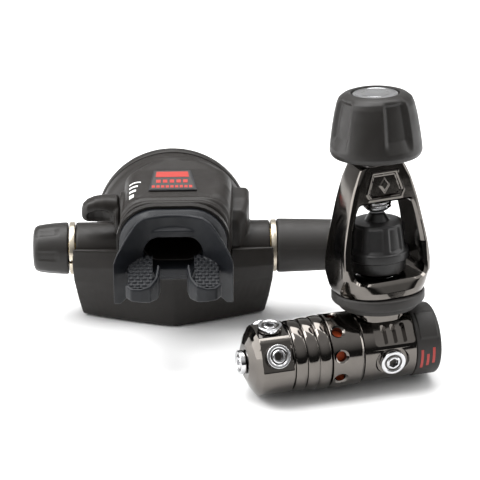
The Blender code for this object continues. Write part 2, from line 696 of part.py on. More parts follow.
DISC_R = 14 * MM
MEMBRANE_Y = 17.6 * MM
DISC_TOP = MEMBRANE_Y + 1.2 * MM
BUTTON_FLOOR = CASE_BACK + 8 * MM
cover = node(
    "front_cover",
    turned(
        [
            (BUTTON_R + FIT, CASE_BACK + 3 * MM), (CASE_INNER_R - 1 * MM, CASE_BACK + 3 * MM),
            (CASE_INNER_R - 1 * MM, CASE_BACK + GAP), (CASE_R, CASE_BACK + GAP),
            (CASE_R + 0.6 * MM, CASE_BACK + 1.5 * MM),
            (CASE_R + 0.4 * MM, CASE_BACK + 5 * MM), (CASE_R - 2 * MM, CASE_BACK + 8 * MM),
            (30 * MM, COVER_BACK - 0.6 * MM), (BUTTON_R + 2 * MM, COVER_BACK),
            (BUTTON_R + FIT, COVER_BACK - 1 * MM),
        ],
        CASE_SIDES, CASE_AXIS,
    ),
    PLASTIC, second_stage,
)  # fmt: skip
for k in range(8):
    turn = Matrix.Translation((0, 0, CASE_UP)) @ Matrix.Rotation(math.pi * (k + 0.5) / 4, 4, "Y")
    slot = block((-5.5 * MM, CASE_BACK + 2 * MM, 26 * MM), (5.5 * MM, COVER_BACK + 5 * MM, 28.6 * MM))
    slot.transform(turn)
    cut(cover, slot)
STOP_R = 6 * MM
STOP_END = DISC_TOP + 1.4 * MM
node(
    "purge_button",
    turned(
        [
            (0, STOP_END), (STOP_R, STOP_END), (STOP_R, BUTTON_FLOOR),
            (BUTTON_R - 0.2 * MM, BUTTON_FLOOR), (BUTTON_R, BUTTON_BACK - 2.5 * MM),
            (BUTTON_R - 1.5 * MM, BUTTON_BACK - 1 * MM), (BUTTON_R * 0.6, BUTTON_BACK),
            (0, BUTTON_BACK + 0.6 * MM),
        ],
        BIG_ROUND, CASE_AXIS,
    ),
    SOFT_BLACK, second_stage,
)  # fmt: skip
node(
    "diaphragm",
    turned(
        [
            (DISC_R + FIT, MEMBRANE_Y), (24 * MM, MEMBRANE_Y), (28 * MM, MEMBRANE_Y - 1.6 * MM),
            (31 * MM, MEMBRANE_Y), (CASE_INNER_R - FIT, MEMBRANE_Y), (CASE_INNER_R - FIT, CASE_BACK - GAP),
            (32 * MM, CASE_BACK - GAP), (31 * MM, MEMBRANE_Y + 0.8 * MM), (28 * MM, MEMBRANE_Y - 0.8 * MM),
            (24 * MM, MEMBRANE_Y + 0.8 * MM), (DISC_R + FIT, MEMBRANE_Y + 0.8 * MM),
        ],
        CASE_SIDES, CASE_AXIS,
    ),
    SILICONE, second_stage,
)  # fmt: skip
node("diaphragm_disc", disc(DISC_R, MEMBRANE_Y, DISC_TOP, CASE_SIDES, CASE_AXIS), STEEL, second_stage)
PURGE_SPRING_LOW = DISC_TOP + 2.1 * MM  # above the disc, which follows the button only part of its way
PURGE_SPRING_HIGH = BUTTON_FLOOR - 0.8 * MM
node(
    "purge_spring",
    coil(9.5 * MM, 0.5 * MM, PURGE_SPRING_LOW, PURGE_SPRING_HIGH, 3, place=CASE_AXIS),
    STEEL, second_stage,
)  # fmt: skip

# ---- Second stage: barrel, poppet and demand lever ----

VALVE_BARREL_R = HOUSING_BORE_R - FIT
WAY_R = 6 * MM
air_barrel = node(
    "air_barrel", tube(WAY_R, VALVE_BARREL_R, -HOUSING_HALF, HOUSING_HALF + 2.6 * MM, BORE, TO_X),
    BRASS, second_stage
)
cut(air_barrel, block((-16 * MM, 2 * MM, -4.5 * MM), (4 * MM, 15 * MM, 4.5 * MM)))
node("orifice", tube(2 * MM, WAY_R - FIT, 20 * MM, 32 * MM, BORE, TO_X), CHROME, second_stage)
node("poppet", disc(WAY_R - FIT, -2 * MM, 19.4 * MM, BORE, TO_X), STEEL, second_stage)
node("poppet_spring", coil(4.2 * MM, 0.5 * MM, -23 * MM, -4.6 * MM, 7, place=TO_X), STEEL, second_stage)
node(
    "adjust_screw",
    turned(
        [
            (0, -29 * MM), (WAY_R - FIT, -29 * MM), (WAY_R - FIT, -44 * MM), (SPINDLE_R, -44 * MM),
            (SPINDLE_R, -56 * MM), (0, -56 * MM),
        ],
        BORE, TO_X,
    ),
    BRASS, second_stage,
)  # fmt: skip
LEVER_X = -10 * MM
LEVER_Y = 9 * MM
LEVER_TIP_X = 8 * MM
LEVER_TIP_Y = MEMBRANE_Y - 0.5 * MM
demand_lever = node(
    "demand_lever",
    loft(
        [
            [
                (LEVER_X - 2 * MM, LEVER_Y - 4 * MM, z), (LEVER_X + 1.2 * MM, LEVER_Y - 4 * MM, z),
                (LEVER_X + 2 * MM, LEVER_Y + 0.6 * MM, z),
                (LEVER_TIP_X - 3 * MM, LEVER_TIP_Y - 1.6 * MM, z),
                (LEVER_TIP_X, LEVER_TIP_Y - 1.2 * MM, z), (LEVER_TIP_X, LEVER_TIP_Y, z),
                (LEVER_TIP_X - 4 * MM, LEVER_TIP_Y - 0.2 * MM, z),
                (LEVER_X - 1 * MM, LEVER_Y + 2.2 * MM, z),
            ]
            for z in (-3 * MM, 3 * MM)
        ]
    ),
    STEEL, second_stage, origin=(LEVER_X, LEVER_Y, 0),
)  # fmt: skip

# ---- Second stage: rings, effort knob and hose end ----

for side, sign in (("left", -1), ("right", 1)):
    start = sign * (HOUSING_HALF + GAP)
    low, high = sorted((start, start + sign * RING_WIDTH))
    ring = node(
        f"{side}_ring", tube(VALVE_BARREL_R + GAP, HOUSING_R + 0.1 * MM, low, high, BIG_ROUND, TO_X),
        SATIN_RING, second_stage,
    )  # fmt: skip
    if side == "left":
        cut(ring, block((low - 1 * MM, -20 * MM, -3.6 * MM), (high + 1 * MM, 0, 0.2 * MM)))
effort_knob = node(
    "effort_knob",
    turned(
        [
            (0, KNOB2_LEFT), (8.2 * MM, KNOB2_LEFT), (10 * MM, KNOB2_LEFT + 1 * MM),
            (12 * MM, KNOB2_LEFT + 9 * MM),
            (12.6 * MM, KNOB2_RIGHT - 1 * MM), (12.3 * MM, KNOB2_RIGHT), (0, KNOB2_RIGHT),
        ],
        BIG_ROUND, TO_X,
    ),
    SOFT_BLACK, second_stage, origin=(KNOB2_RIGHT, 0, 0),
)  # fmt: skip
cut(effort_knob, disc(SPINDLE_R + FIT, -57 * MM, KNOB2_RIGHT + 5 * MM, BORE, TO_X))
for k in range(8):
    turn = Matrix.Rotation(math.pi * k / 4, 4, "X")
    beside_knob = Matrix.Translation((0, 0, 14.4 * MM)) @ TO_X
    groove = disc(3.2 * MM, KNOB2_LEFT - 1 * MM, KNOB2_RIGHT - 3.5 * MM, 10, beside_knob)
    groove.transform(turn)
    cut(effort_knob, groove)
NUT_START = HOUSING_HALF + 2.6 * MM + GAP
hose_nut = node(
    "hose_nut",
    turned(
        [
            (4 * MM, NUT_START + 0.2 * MM), (NUT_R, NUT_START + 0.2 * MM), (NUT_R, NUT_END - 0.5 * MM),
            (NUT_R - 0.5 * MM, NUT_END), (4 * MM, NUT_END),
        ],
        BORE, TO_X,
    ),
    CHROME, second_stage,
)  # fmt: skip
SLEEVE_START = HOUSING_HALF + GAP + RING_WIDTH + GAP
node(
    "hose_sleeve",
    turned(
        [
            (SLEEVE_BORE_R, SLEEVE_START), (SLEEVE_R - 0.6 * MM, SLEEVE_START),
            (SLEEVE_R, SLEEVE_START + 0.8 * MM),
            (SLEEVE_END_R, SLEEVE_END - 0.5 * MM), (SLEEVE_END_R - 0.5 * MM, SLEEVE_END),
            (SLEEVE_BORE_R, SLEEVE_END),
        ],
        BIG_ROUND, TO_X,
    ),
    RUBBER, second_stage,
)  # fmt: skip

# ---- Second stage: venturi lever and vane, label plate ----

VENTURI = Matrix.Translation((0, VENTURI_Y, VENTURI_Z)) @ TO_X
HUB_RIGHT = NECK_SECTIONS[-1][1] - GAP
VANE_HALF = 10.8 * MM
venturi = node(
    "venturi_lever", disc(VENTURI_R, HUB_RIGHT - 2.4 * MM, HUB_RIGHT, BORE, VENTURI), PLASTIC, second_stage,
    origin=(HUB_RIGHT, VENTURI_Y, VENTURI_Z),
)  # fmt: skip
PADDLE = (
    (-43 * MM, 20.5 * MM, 23.5 * MM, -13 * MM, -8 * MM),
    (-40 * MM, 20.2 * MM, 28.5 * MM, -15 * MM, -6 * MM),
    (-34 * MM, 20.0 * MM, 31.2 * MM, -15 * MM, -5 * MM),
    (HUB_RIGHT - 1 * MM, 15.0 * MM, 28.6 * MM, -14 * MM, -2 * MM),
)
paddle_loops = []
for x, low, high, front, back in PADDLE:
    outline = rounded(back - front, high - low, 1.4 * MM, 3, ((front + back) / 2, (low + high) / 2))
    paddle_loops.append([(x, y, z) for y, z in outline])
join(venturi, loft(paddle_loops), disc(SPINDLE_R, HUB_RIGHT - 1 * MM, -VANE_HALF - GAP, 12, VENTURI))
node(
    "venturi_vane",
    block(
        (-VANE_HALF, VENTURI_Y - 0.8 * MM, VENTURI_Z - 5.5 * MM),
        (VANE_HALF, VENTURI_Y + 0.8 * MM, VENTURI_Z + 5.5 * MM),
    ),
    SOFT_BLACK, second_stage, origin=(HUB_RIGHT, VENTURI_Y, VENTURI_Z),
)  # fmt: skip

PLATE = ((-11.2 * MM, -17.5 * MM), (11.6 * MM, -17.5 * MM), (8.9 * MM, 1.5 * MM), (-8.9 * MM, 1.5 * MM))
PLATE_UNDER = 0.4 * MM  # clear of the neck's top
PLATE_OVER = 1.2 * MM


def neck_top(y):
    """The height of the neck's top at this distance towards the diver."""
    for near, far in zip(NECK_SECTIONS, NECK_SECTIONS[1:]):
        if far[0] <= y <= near[0]:
            share = (near[0] - y) / (near[0] - far[0])
            return near[4] + (far[4] - near[4]) * share
    raise ValueError("the neck has no top here")


node(
    "label_plate",
    loft([[(x, y, neck_top(y) + lift) for x, y in PLATE] for lift in (PLATE_UNDER, PLATE_OVER)]),
    BLACK_CHROME, second_stage,
)  # fmt: skip

# ---- Second stage: exhaust valve and tee ----

node(
    "exhaust_valve",
    disc(VALVE_R, VALVE_FACE - 1.5 * MM, VALVE_FACE - GAP, BORE, Matrix.Translation((0, 0, VALVE_Z)) @ TO_Y),
    SILICONE, second_stage,
)  # fmt: skip

TEE_LEVELS = (
    # height, half-width, reach towards the diver at the ends, at the middle
    (-BARREL_HEIGHT, 43.8 * MM, 0.2 * MM, 15.6 * MM),
    (-BARREL_HEIGHT + 1.2 * MM, 44.6 * MM, 1.6 * MM, 16.6 * MM),
    (-24 * MM, 46.4 * MM, 6.5 * MM, 17.6 * MM),
    (-12 * MM, 48.0 * MM, 12.0 * MM, 18.0 * MM),
    (-4 * MM, 48.4 * MM, 14.4 * MM, 17.6 * MM),
    (TEE_TOP, 48.2 * MM, 14.6 * MM, 15.6 * MM),
)
TEE_BACK = 9 * MM


def tee(levels, inset, spread, back):
    """Plan outlines stacked up the tee: a blunt V towards the diver, pulled in by the wall when hollow."""
    loops = []
    for z, half, end, middle in levels:
        wide = half + spread
        middle_reach = middle - inset
        quarter_reach = (end + middle) / 2 + 1 * MM - inset
        end_reach = end - inset - (quarter_reach - end + inset) * spread / (half / 2)
        loops.append(
            [
                (-wide, back, z), (-wide, -end_reach, z), (-half / 2, -quarter_reach, z),
                (0, -middle_reach, z), (half / 2, -quarter_reach, z), (wide, -end_reach, z),
                (wide, back, z),
            ]
        )  # fmt: skip
    return loft(loops)


exhaust_tee = node("exhaust_tee", tee(TEE_LEVELS, 0, 0, TEE_BACK), PLASTIC, second_stage)
INNER_LEVELS = tuple(
    (max(z, -BARREL_HEIGHT + TEE_WALL), half, end, middle) for z, half, end, middle in TEE_LEVELS[1:4]
)
cut(
    exhaust_tee,
    disc(HOUSING_R + GAP, -60 * MM, 60 * MM, BIG_ROUND, TO_X),
    turned(case_outline(GAP), CASE_SIDES, CASE_AXIS),
    neck(NECK_SECTIONS, GAP),
    block((-60 * MM, -2 * MM, -HOUSING_R - 2 * MM), (60 * MM, 20 * MM, 20 * MM)),
    tee(INNER_LEVELS, TEE_WALL, 10 * MM, TEE_BACK - TEE_WALL),
)

# ---- Second stage: mouthpiece ----

COLLAR_IN = NECK_END - 0.6 * MM
COLLAR_MIDDLE = (0, 17.6 * MM)
COLLAR_OUTLINE = (50.6 * MM, 35.4 * MM, 17 * MM)  # width, height, corner radius
CLAMP_WALL = 1.4 * MM
mouthpiece = node(
    "mouthpiece",
    loft(
        [
            [(x, y, z) for x, z in rounded(w, h, r, 4, COLLAR_MIDDLE)]
            for y, w, h, r in (
                (COLLAR_IN, *COLLAR_OUTLINE), (SPIGOT_END - 1 * MM, *COLLAR_OUTLINE),
                (-41 * MM, 40 * MM, 28 * MM, 13 * MM), (-45 * MM, 34 * MM, 23 * MM, 11 * MM),
            )
        ]
    ),
    SILICONE, second_stage,
)  # fmt: skip


def shield_loops():
    """Slices across the lip shield: it bows forward at its ends, and its lobes hang lower there."""
    loops = []
    for i in range(15):
        x = SHIELD_HALF * (i / 7 - 1)
        t = abs(x) / SHIELD_HALF
        y = -43 * MM - 17 * MM * t**2.2
        high = 34 * MM - 12 * MM * max(0, t - 0.45) ** 1.4
        low = 1.5 * MM - 5 * MM * math.sin(math.pi * min(1, t) ** 2) + 5 * MM * t**8
        loops.append([(x, y, low), (x, y - SHIELD_T, low), (x, y - SHIELD_T, high), (x, y, high)])
    return loops


join(mouthpiece, loft(shield_loops()))
for sign in (-1, 1):
    pad = (
        (-44 * MM, 13 * MM, 17.7 * MM, 8 * MM, 7 * MM), (-50 * MM, 14 * MM, 15.6 * MM, 10 * MM, 4.4 * MM),
        (-69 * MM, 15 * MM, 10.4 * MM, 11 * MM, 4 * MM), (-71 * MM, 15 * MM, 9.8 * MM, 9 * MM, 3 * MM),
    )  # fmt: skip
    loops = []
    for y, x, z, wide, thick in pad:
        outline = rounded(wide, thick, thick * 0.45, 3, (sign * (x + 1 * MM), z))
        loops.append([(px, y, pz) for px, pz in outline])
    join(mouthpiece, loft(loops))
    low_x, high_x = sorted((sign * 9.8 * MM, sign * 20.5 * MM))
    join(mouthpiece, block((low_x, -71.2 * MM, 5.3 * MM), (high_x, -69 * MM, 15.3 * MM)))
CLAMP_Y = -33 * MM
cut(
    mouthpiece,
    neck(((COLLAR_IN + 5 * MM, *SPIGOT_OUTLINE), (SPIGOT_END - GAP, *SPIGOT_OUTLINE)), GAP),
    neck(((SPIGOT_END + 2 * MM, *AIRWAY_MOUTH), (-60 * MM, *AIRWAY_MOUTH))),
)


def round_collar(grow, half):
    """The collar's outline, a little larger all round, on both sides of the clamp's middle."""
    w, h, r = COLLAR_OUTLINE
    outline = rounded(w + 2 * grow, h + 2 * grow, r + grow, 4, COLLAR_MIDDLE)
    return loft([[(x, y, z) for x, z in outline] for y in (CLAMP_Y - half, CLAMP_Y + half)])


clamp = node("mouthpiece_clamp", round_collar(CLAMP_WALL, 1.8 * MM), SOFT_BLACK, second_stage)
cut(clamp, round_collar(GAP, 8 * MM))


# ---- Placing the stages ----

def place_stages():
    """Stands both stages in place, then moves them so that the floor and the middle are the origin."""
    first_stage.rotation_euler = (Matrix.Rotation(YAW, 3, "Z") @ Matrix.Rotation(-LEAN, 3, "X")).to_euler()
    first_stage.location = (STAGE_SPACING, -STAGE_DEPTH, AXIS_HEIGHT)
    second_stage.location = (0, 0, BARREL_HEIGHT)
    bpy.context.view_layer.update()
    graph = bpy.context.evaluated_depsgraph_get()
    low = Vector((1, 1, 1))
    high = -low
    for obj in bpy.data.objects:
        if obj.type != "MESH" or obj.hide_render:
            continue
        evaluated = obj.evaluated_get(graph)
        mesh = evaluated.to_mesh()
        for vertex in mesh.vertices:
            point = obj.matrix_world @ vertex.co
            low = Vector(map(min, low, point))
            high = Vector(map(max, high, point))
        evaluated.to_mesh_clear()
    shift = Vector(((low.x + high.x) / 2, (low.y + high.y) / 2, low.z))
    for stage in (first_stage, second_stage):
        stage.location -= shift
    bpy.context.view_layer.update()


place_stages()
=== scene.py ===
"""The finished look of a scuba regulator set: a piston first stage with its yoke clamp, and a second stage.

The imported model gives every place, axis and body. Each section below makes one piece, or a few like
pieces, as fine surfaces in millimetres in its stage's own frame, and gives it its finish.
"""

import json
import math

import bpy
import numpy as np
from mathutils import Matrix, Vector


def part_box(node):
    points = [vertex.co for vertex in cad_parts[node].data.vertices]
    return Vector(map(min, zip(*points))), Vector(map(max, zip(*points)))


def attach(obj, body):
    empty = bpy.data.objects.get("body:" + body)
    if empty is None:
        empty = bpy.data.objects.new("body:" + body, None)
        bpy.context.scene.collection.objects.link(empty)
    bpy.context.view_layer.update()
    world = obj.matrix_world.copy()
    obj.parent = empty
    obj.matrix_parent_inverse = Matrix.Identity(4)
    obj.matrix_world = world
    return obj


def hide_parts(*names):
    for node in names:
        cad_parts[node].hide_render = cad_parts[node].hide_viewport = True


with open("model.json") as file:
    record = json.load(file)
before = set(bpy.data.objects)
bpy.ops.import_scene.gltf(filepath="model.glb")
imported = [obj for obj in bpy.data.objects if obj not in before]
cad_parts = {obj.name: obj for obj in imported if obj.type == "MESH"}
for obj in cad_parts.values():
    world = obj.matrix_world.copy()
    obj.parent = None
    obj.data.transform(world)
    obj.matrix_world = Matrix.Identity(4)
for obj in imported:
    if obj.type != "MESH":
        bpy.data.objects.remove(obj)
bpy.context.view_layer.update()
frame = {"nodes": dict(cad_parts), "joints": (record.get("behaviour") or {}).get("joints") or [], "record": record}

# ---- Camera ----
# A long lens a metre away, looking slightly down at the middle of the set.
AIM = np.array([0.003, -0.034, 0.0695])
CAMERA_BACK = 1.0
CAMERA_RISE = math.radians(24.5)
CAMERA_TURN = math.radians(-1.9)
LENS_MM = 166.0
camera_data = bpy.data.cameras.new("camera")
camera_data.lens = LENS_MM
camera_data.sensor_width = 36
camera_data.clip_end = 20
camera = bpy.data.objects.new("camera", camera_data)
bpy.context.scene.collection.objects.link(camera)
reach = CAMERA_BACK * math.cos(CAMERA_RISE)
camera.location = AIM + [
    reach * math.sin(CAMERA_TURN), -reach * math.cos(CAMERA_TURN), CAMERA_BACK * math.sin(CAMERA_RISE)
]
camera.rotation_euler = (math.pi / 2 - CAMERA_RISE, 0, CAMERA_TURN)
bpy.context.scene.camera = camera

# ---- Floor and light ----
# A pale sweep under and behind the set, soft boxes above, behind and at each side, and a room that is
# dark on the camera's side. Only reflections see the dark card, which keeps the polished fronts dark.
scene = bpy.context.scene
scene.view_settings.view_transform = "Standard"


class Value:
    """A socket in a material: arithmetic on it adds the Math nodes."""

    def __init__(self, finish, socket):
        self.finish = finish
        self.socket = socket

    def math(self, operation, first, second):
        return self.finish.node("ShaderNodeMath", {"operation": operation}, {0: first, 1: second})

    def __add__(self, other):
        return self.math("ADD", self, other)

    def __sub__(self, other):
        return self.math("SUBTRACT", self, other)

    def __rsub__(self, other):
        return self.math("SUBTRACT", other, self)

    def __mul__(self, other):
        return self.math("MULTIPLY", self, other)

    __radd__ = __add__
    __rmul__ = __mul__


SOCKETS = {"reflection": "Specular IOR Level"}


class Finish:
    """A material: one Principled shader, with the numbers given set on its own sockets."""

    def __init__(self, name, colour, **sockets):
        self.material = bpy.data.materials.new(name)
        self.material.use_nodes = True
        self.tree = self.material.node_tree
        self.shader = self.tree.nodes["Principled BSDF"]
        self.shader.inputs["Base Color"].default_value = (*colour, 1)
        for socket, value in sockets.items():
            self.shader.inputs[SOCKETS.get(socket, socket.title())].default_value = value

    def node(self, kind, settings=None, inputs=None, output=0):
        """Any node: its settings, then the values or links of its sockets."""
        made = self.tree.nodes.new(kind)
        for name, value in (settings or {}).items():
            setattr(made, name, value)
        for name, value in (inputs or {}).items():
            if isinstance(value, Value):
                self.tree.links.new(value.socket, made.inputs[name])
            else:
                made.inputs[name].default_value = value
        return Value(self, made.outputs[output])

    def place(self):
        return self.node("ShaderNodeTexCoord", output="Object")

    def noise(self, size, detail=3.0, roughness=0.5, stretch=None):
        """Smooth noise whose blotches are about this many metres across, from 0 to 1."""
        where = self.place()
        if stretch:
            where = self.node("ShaderNodeMapping", {}, {"Vector": where, "Scale": stretch})
        wanted = {"Vector": where, "Scale": 1 / size, "Detail": detail, "Roughness": roughness}
        return self.node("ShaderNodeTexNoise", {}, wanted)

    def ramp(self, value, low, high, to_low, to_high):
        """Maps low..high to to_low..to_high and holds it there outside."""
        wanted = {"Value": value, 1: low, 2: high, 3: to_low, 4: to_high}
        return self.node("ShaderNodeMapRange", {}, wanted)

    def blend(self, factor, first, second):
        """A colour between two colours."""
        wanted = {0: factor, 6: (*first, 1), 7: (*second, 1)}
        return self.node("ShaderNodeMix", {"data_type": "RGBA"}, wanted, 2)

    def feed(self, socket, value):
        self.tree.links.new(value.socket, self.shader.inputs[socket])

    def bump(self, height, depth, strength=1.0):
        """Raises the surface by height times depth, in metres."""
        wanted = {"Height": height, "Distance": depth, "Strength": strength}
        self.feed("Normal", self.node("ShaderNodeBump", {}, wanted))


def flat_object(name, corners, faces, look):
    mesh = bpy.data.meshes.new(name)
    mesh.from_pydata(corners, [], faces)
    mesh.materials.append(look)
    made = bpy.data.objects.new(name, mesh)
    scene.collection.objects.link(made)
    return made


paper = Finish("floor_paper", (0.86, 0.86, 0.86), roughness=0.9)
paper.feed("Roughness", paper.ramp(paper.noise(0.02), 0, 1, 0.85, 0.95))
sweep_angles = np.linspace(0, math.pi / 2, 13)
SWEEP_BACK, SWEEP_R, SWEEP_HALF = 1.6, 1.2, 5.0
sweep = [(-4.0, -0.0005)] + [
    (SWEEP_BACK + SWEEP_R * math.sin(a), SWEEP_R * (1 - math.cos(a)) - 0.0005) for a in sweep_angles
] + [(SWEEP_BACK + SWEEP_R, 4.0)]
corners = [(x, y, z) for y, z in sweep for x in (-SWEEP_HALF, SWEEP_HALF)]
faces = [(2 * k, 2 * k + 1, 2 * k + 3, 2 * k + 2) for k in range(len(sweep) - 1)]
floor = flat_object("floor", corners, faces, paper.material)
floor.data.shade_smooth()


def soft_box(name, place, aim, size, power, colour=(1, 1, 1)):
    data = bpy.data.lights.new(name, "AREA")
    data.shape = "RECTANGLE"
    data.size, data.size_y = size
    data.energy = power
    data.color = colour
    made = bpy.data.objects.new(name, data)
    scene.collection.objects.link(made)
    made.location = place
    toward = np.array(aim) - np.array(place)
    yaw = math.atan2(toward[0], -toward[1])
    pitch = math.atan2(math.hypot(toward[0], toward[1]), -toward[2])
    made.rotation_euler = (pitch, 0, yaw + math.pi)
    return made


soft_box("key", (-0.55, -0.10, 1.15), (0, 0, 0.04), (0.55, 0.8), 13.0)
soft_box("right_strip", (1.05, 0.10, 0.50), (0, 0, 0.06), (0.30, 1.2), 5.0)
soft_box("left_strip", (-1.05, 0.05, 0.35), (0, 0, 0.06), (0.9, 1.2), 12.0)
soft_box("top", (0.15, 0.45, 1.3), (0, 0, 0.0), (1.3, 0.7), 16.0)

dark_card = Finish("dark_card", (0.012, 0.011, 0.010), roughness=0.9)
CARD_NEAR, CARD_FAR, CARD_HALF = -0.42, -3.5, 4.0
card = flat_object("dark_card", [
    (-CARD_HALF, CARD_NEAR, 0.001), (CARD_HALF, CARD_NEAR, 0.001), (CARD_HALF, CARD_FAR, 0.001),
    (-CARD_HALF, CARD_FAR, 0.001),
], [(0, 1, 2, 3)], dark_card.material)  # fmt: skip
for ray in ("camera", "diffuse", "transmission", "volume_scatter", "shadow"):
    setattr(card, f"visible_{ray}", False)

world = bpy.data.worlds.new("room")
world.use_nodes = True
scene.world = world
room = Finish.__new__(Finish)
room.tree = world.node_tree
direction = room.node("ShaderNodeTexCoord", output="Generated")
depth = room.node("ShaderNodeSeparateXYZ", {}, {"Vector": direction}, output="Y")
height = room.node("ShaderNodeSeparateXYZ", {}, {"Vector": direction}, output="Z")
glow = 0.05 + room.ramp(depth, -0.25, 0.35, 0.0, 0.5) + room.ramp(height, 0.25, 0.75, 0.0, 0.75)
room.tree.links.new(glow.socket, world.node_tree.nodes["Background"].inputs["Strength"])
world.node_tree.nodes["Background"].inputs["Color"].default_value = (1, 1, 1, 1)

# ---- Spring barrel, turret and body ----
# The first stage's pressure casing: three machined brass parts with black chrome plating. The barrel
# has ribs and a ring of water holes, the turret turns on it, and the body carries the inlet.
MM = 0.001
joints = {joint["name"]: joint for joint in frame["joints"]}


def stage_frame(origin, along, up):
    """The matrix that takes a stage's own millimetres to the row frame."""
    along, up = np.array(along), np.array(up)
    matrix = np.eye(4)
    matrix[:3, :3] = np.stack([along, np.cross(up, along), up], axis=1) * MM
    matrix[:3, 3] = origin
    return matrix


FIRST = stage_frame(joints["turret_swivel"]["pos_m"], joints["turret_swivel"]["axis"], joints["knob_turn"]["axis"])
case_low, case_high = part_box("case")
barrel_at = joints["effort_knob_turn"]["pos_m"]
SECOND = stage_frame([(case_low.x + case_high.x) / 2, barrel_at[1], barrel_at[2]], (1, 0, 0), (0, 0, 1))
ALONG_X = np.array([[0, 0, 1, 0], [1, 0, 0, 0], [0, 1, 0, 0], [0, 0, 0, 1.0]])
ALONG_Y = np.array([[1, 0, 0, 0], [0, 0, 1, 0], [0, -1, 0, 0], [0, 0, 0, 1.0]])


def shifted(x, y, z):
    matrix = np.eye(4)
    matrix[:3, 3] = x, y, z
    return matrix


def eased(corners, radius, steps=5):
    """A line through corners, each inner one replaced by a curve that leaves and joins it radius away."""
    corners = np.array(corners, float)
    radii = np.broadcast_to(radius, len(corners))
    line = [corners[:1]]
    t = np.linspace(0, 1, steps + 1)[:, None]
    for before, corner, after, r in zip(corners[:-2], corners[1:-1], corners[2:], radii[1:-1]):
        back, ahead = before - corner, after - corner
        start = corner + back * min(0.48, r / max(np.linalg.norm(back), 1e-9))
        end = corner + ahead * min(0.48, r / max(np.linalg.norm(ahead), 1e-9))
        line.append((1 - t) ** 2 * start + 2 * t * (1 - t) * corner + t**2 * end)
    line.append(corners[-1:])
    return np.concatenate(line)


def skin(points, wrap=False):
    """A mesh from a grid of points, closed round its second side. Its ends are joined if it wraps, or else capped."""
    rows, around = points.shape[:2]
    vertices = points.reshape(-1, 3)
    row = np.arange(rows if wrap else rows - 1)[:, None]
    column = np.arange(around)[None, :]
    here, beside = row * around + column, row * around + (column + 1) % around
    next_row = (row + 1) % rows
    above, above_beside = next_row * around + column, next_row * around + (column + 1) % around
    quads = np.stack([here, beside, above_beside, above], axis=-1).reshape(-1, 4)
    faces = quads.tolist()
    if not wrap:
        count = len(vertices)
        vertices = np.concatenate([vertices, points[:1].mean(axis=1), points[-1:].mean(axis=1)])
        first, last = np.arange(around), (rows - 1) * around + np.arange(around)
        faces += np.stack([np.roll(first, -1), first, np.full(around, count)], axis=-1).tolist()
        faces += np.stack([last, np.roll(last, -1), np.full(around, count + 1)], axis=-1).tolist()
    a, b, c = vertices[quads[:, 0]], vertices[quads[:, 1]], vertices[quads[:, 2]]
    d = vertices[quads[:, 3]]
    volume = (np.cross(a, b) * c).sum() + (np.cross(a, c) * d).sum()
    if not wrap:
        for ends, centre, sign in ((first, -2, -1), (last, -1, 1)):
            ring = vertices[ends]
            volume += sign * (np.cross(ring, np.roll(ring, -1, axis=0)) * vertices[centre]).sum()
    if volume < 0:
        faces = [face[::-1] for face in faces]
    mesh = bpy.data.meshes.new("skin")
    mesh.from_pydata(vertices.tolist(), [], faces)
    return mesh


def placed(points, matrix):
    return points @ matrix[:3, :3].T + matrix[:3, 3]


def solid(mesh, name="solid"):
    made = bpy.data.objects.new(name, mesh)
    scene.collection.objects.link(made)
    return made


def turned(profile, matrix, sides=96, shape=None, wrap=False):
    """A profile of (radius, height) turned about the matrix's third axis. shape(angle, height) may add to the radius."""
    profile = np.array(profile, float)
    angle = np.linspace(0, 2 * math.pi, sides, endpoint=False)[None, :]
    radius, along = profile[:, :1], profile[:, 1:]
    reach = radius + (shape(angle, along) if shape else 0)
    height = along + 0 * angle
    points = np.stack([reach * np.cos(angle), reach * np.sin(angle), height], axis=-1)
    return skin(placed(points, matrix), wrap)


def baked(obj):
    """The object's mesh with its modifiers applied; the object is left without them."""
    graph = bpy.context.evaluated_depsgraph_get()
    mesh = bpy.data.meshes.new_from_object(obj.evaluated_get(graph))
    obj.modifiers.clear()
    obj.data = mesh
    return obj


def shaped(obj, operation, tools, solver="MANIFOLD"):
    """Joins tools to an object or cuts them from it, and removes them."""
    for mesh in tools:
        tool = solid(mesh)
        modifier = obj.modifiers.new("shape", "BOOLEAN")
        modifier.operation = operation
        modifier.solver = solver
        modifier.object = tool
        baked(obj)
        bpy.data.objects.remove(tool)
    return obj


def piece(name, obj, finish, body, slot, *nodes, sharp=35):
    """Names a finished object, smooths its shading, gives it its finish and body, and hides the CAD nodes it stands
    for.
    """
    obj.name = name
    obj.data.name = name
    obj.data.materials.clear()
    obj.data.materials.append(finish.material)
    obj.data.shade_smooth()
    obj.data.set_sharp_from_angle(angle=math.radians(sharp))
    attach(obj, body)
    if nodes:
        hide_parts(*nodes)
    return obj


black_chrome = Finish("black_chrome_plate", (0.13, 0.120, 0.110), roughness=0.08, metallic=1.0)
smudge = black_chrome.noise(0.006, 4)
black_chrome.feed("Roughness", black_chrome.ramp(smudge, 0.35, 0.75, 0.06, 0.16))
black_chrome.feed("Base Color", black_chrome.blend(smudge, (0.150, 0.138, 0.127), (0.115, 0.106, 0.097)))
black_chrome.bump(black_chrome.noise(0.0025, 2), 0.000004)

BODY_R = 16.3
ROUND_BODY = FIRST @ ALONG_X
PORT_ANGLES = {"top": 82, "front": 23, "rear": 141, "lower": 239}
LOW_SEAT = 14.7
PORT_X = -52.8


def up_from_front(degrees):
    """The turning angle about the body of a port that faces this many degrees up from the front."""
    return math.radians(180 - degrees)


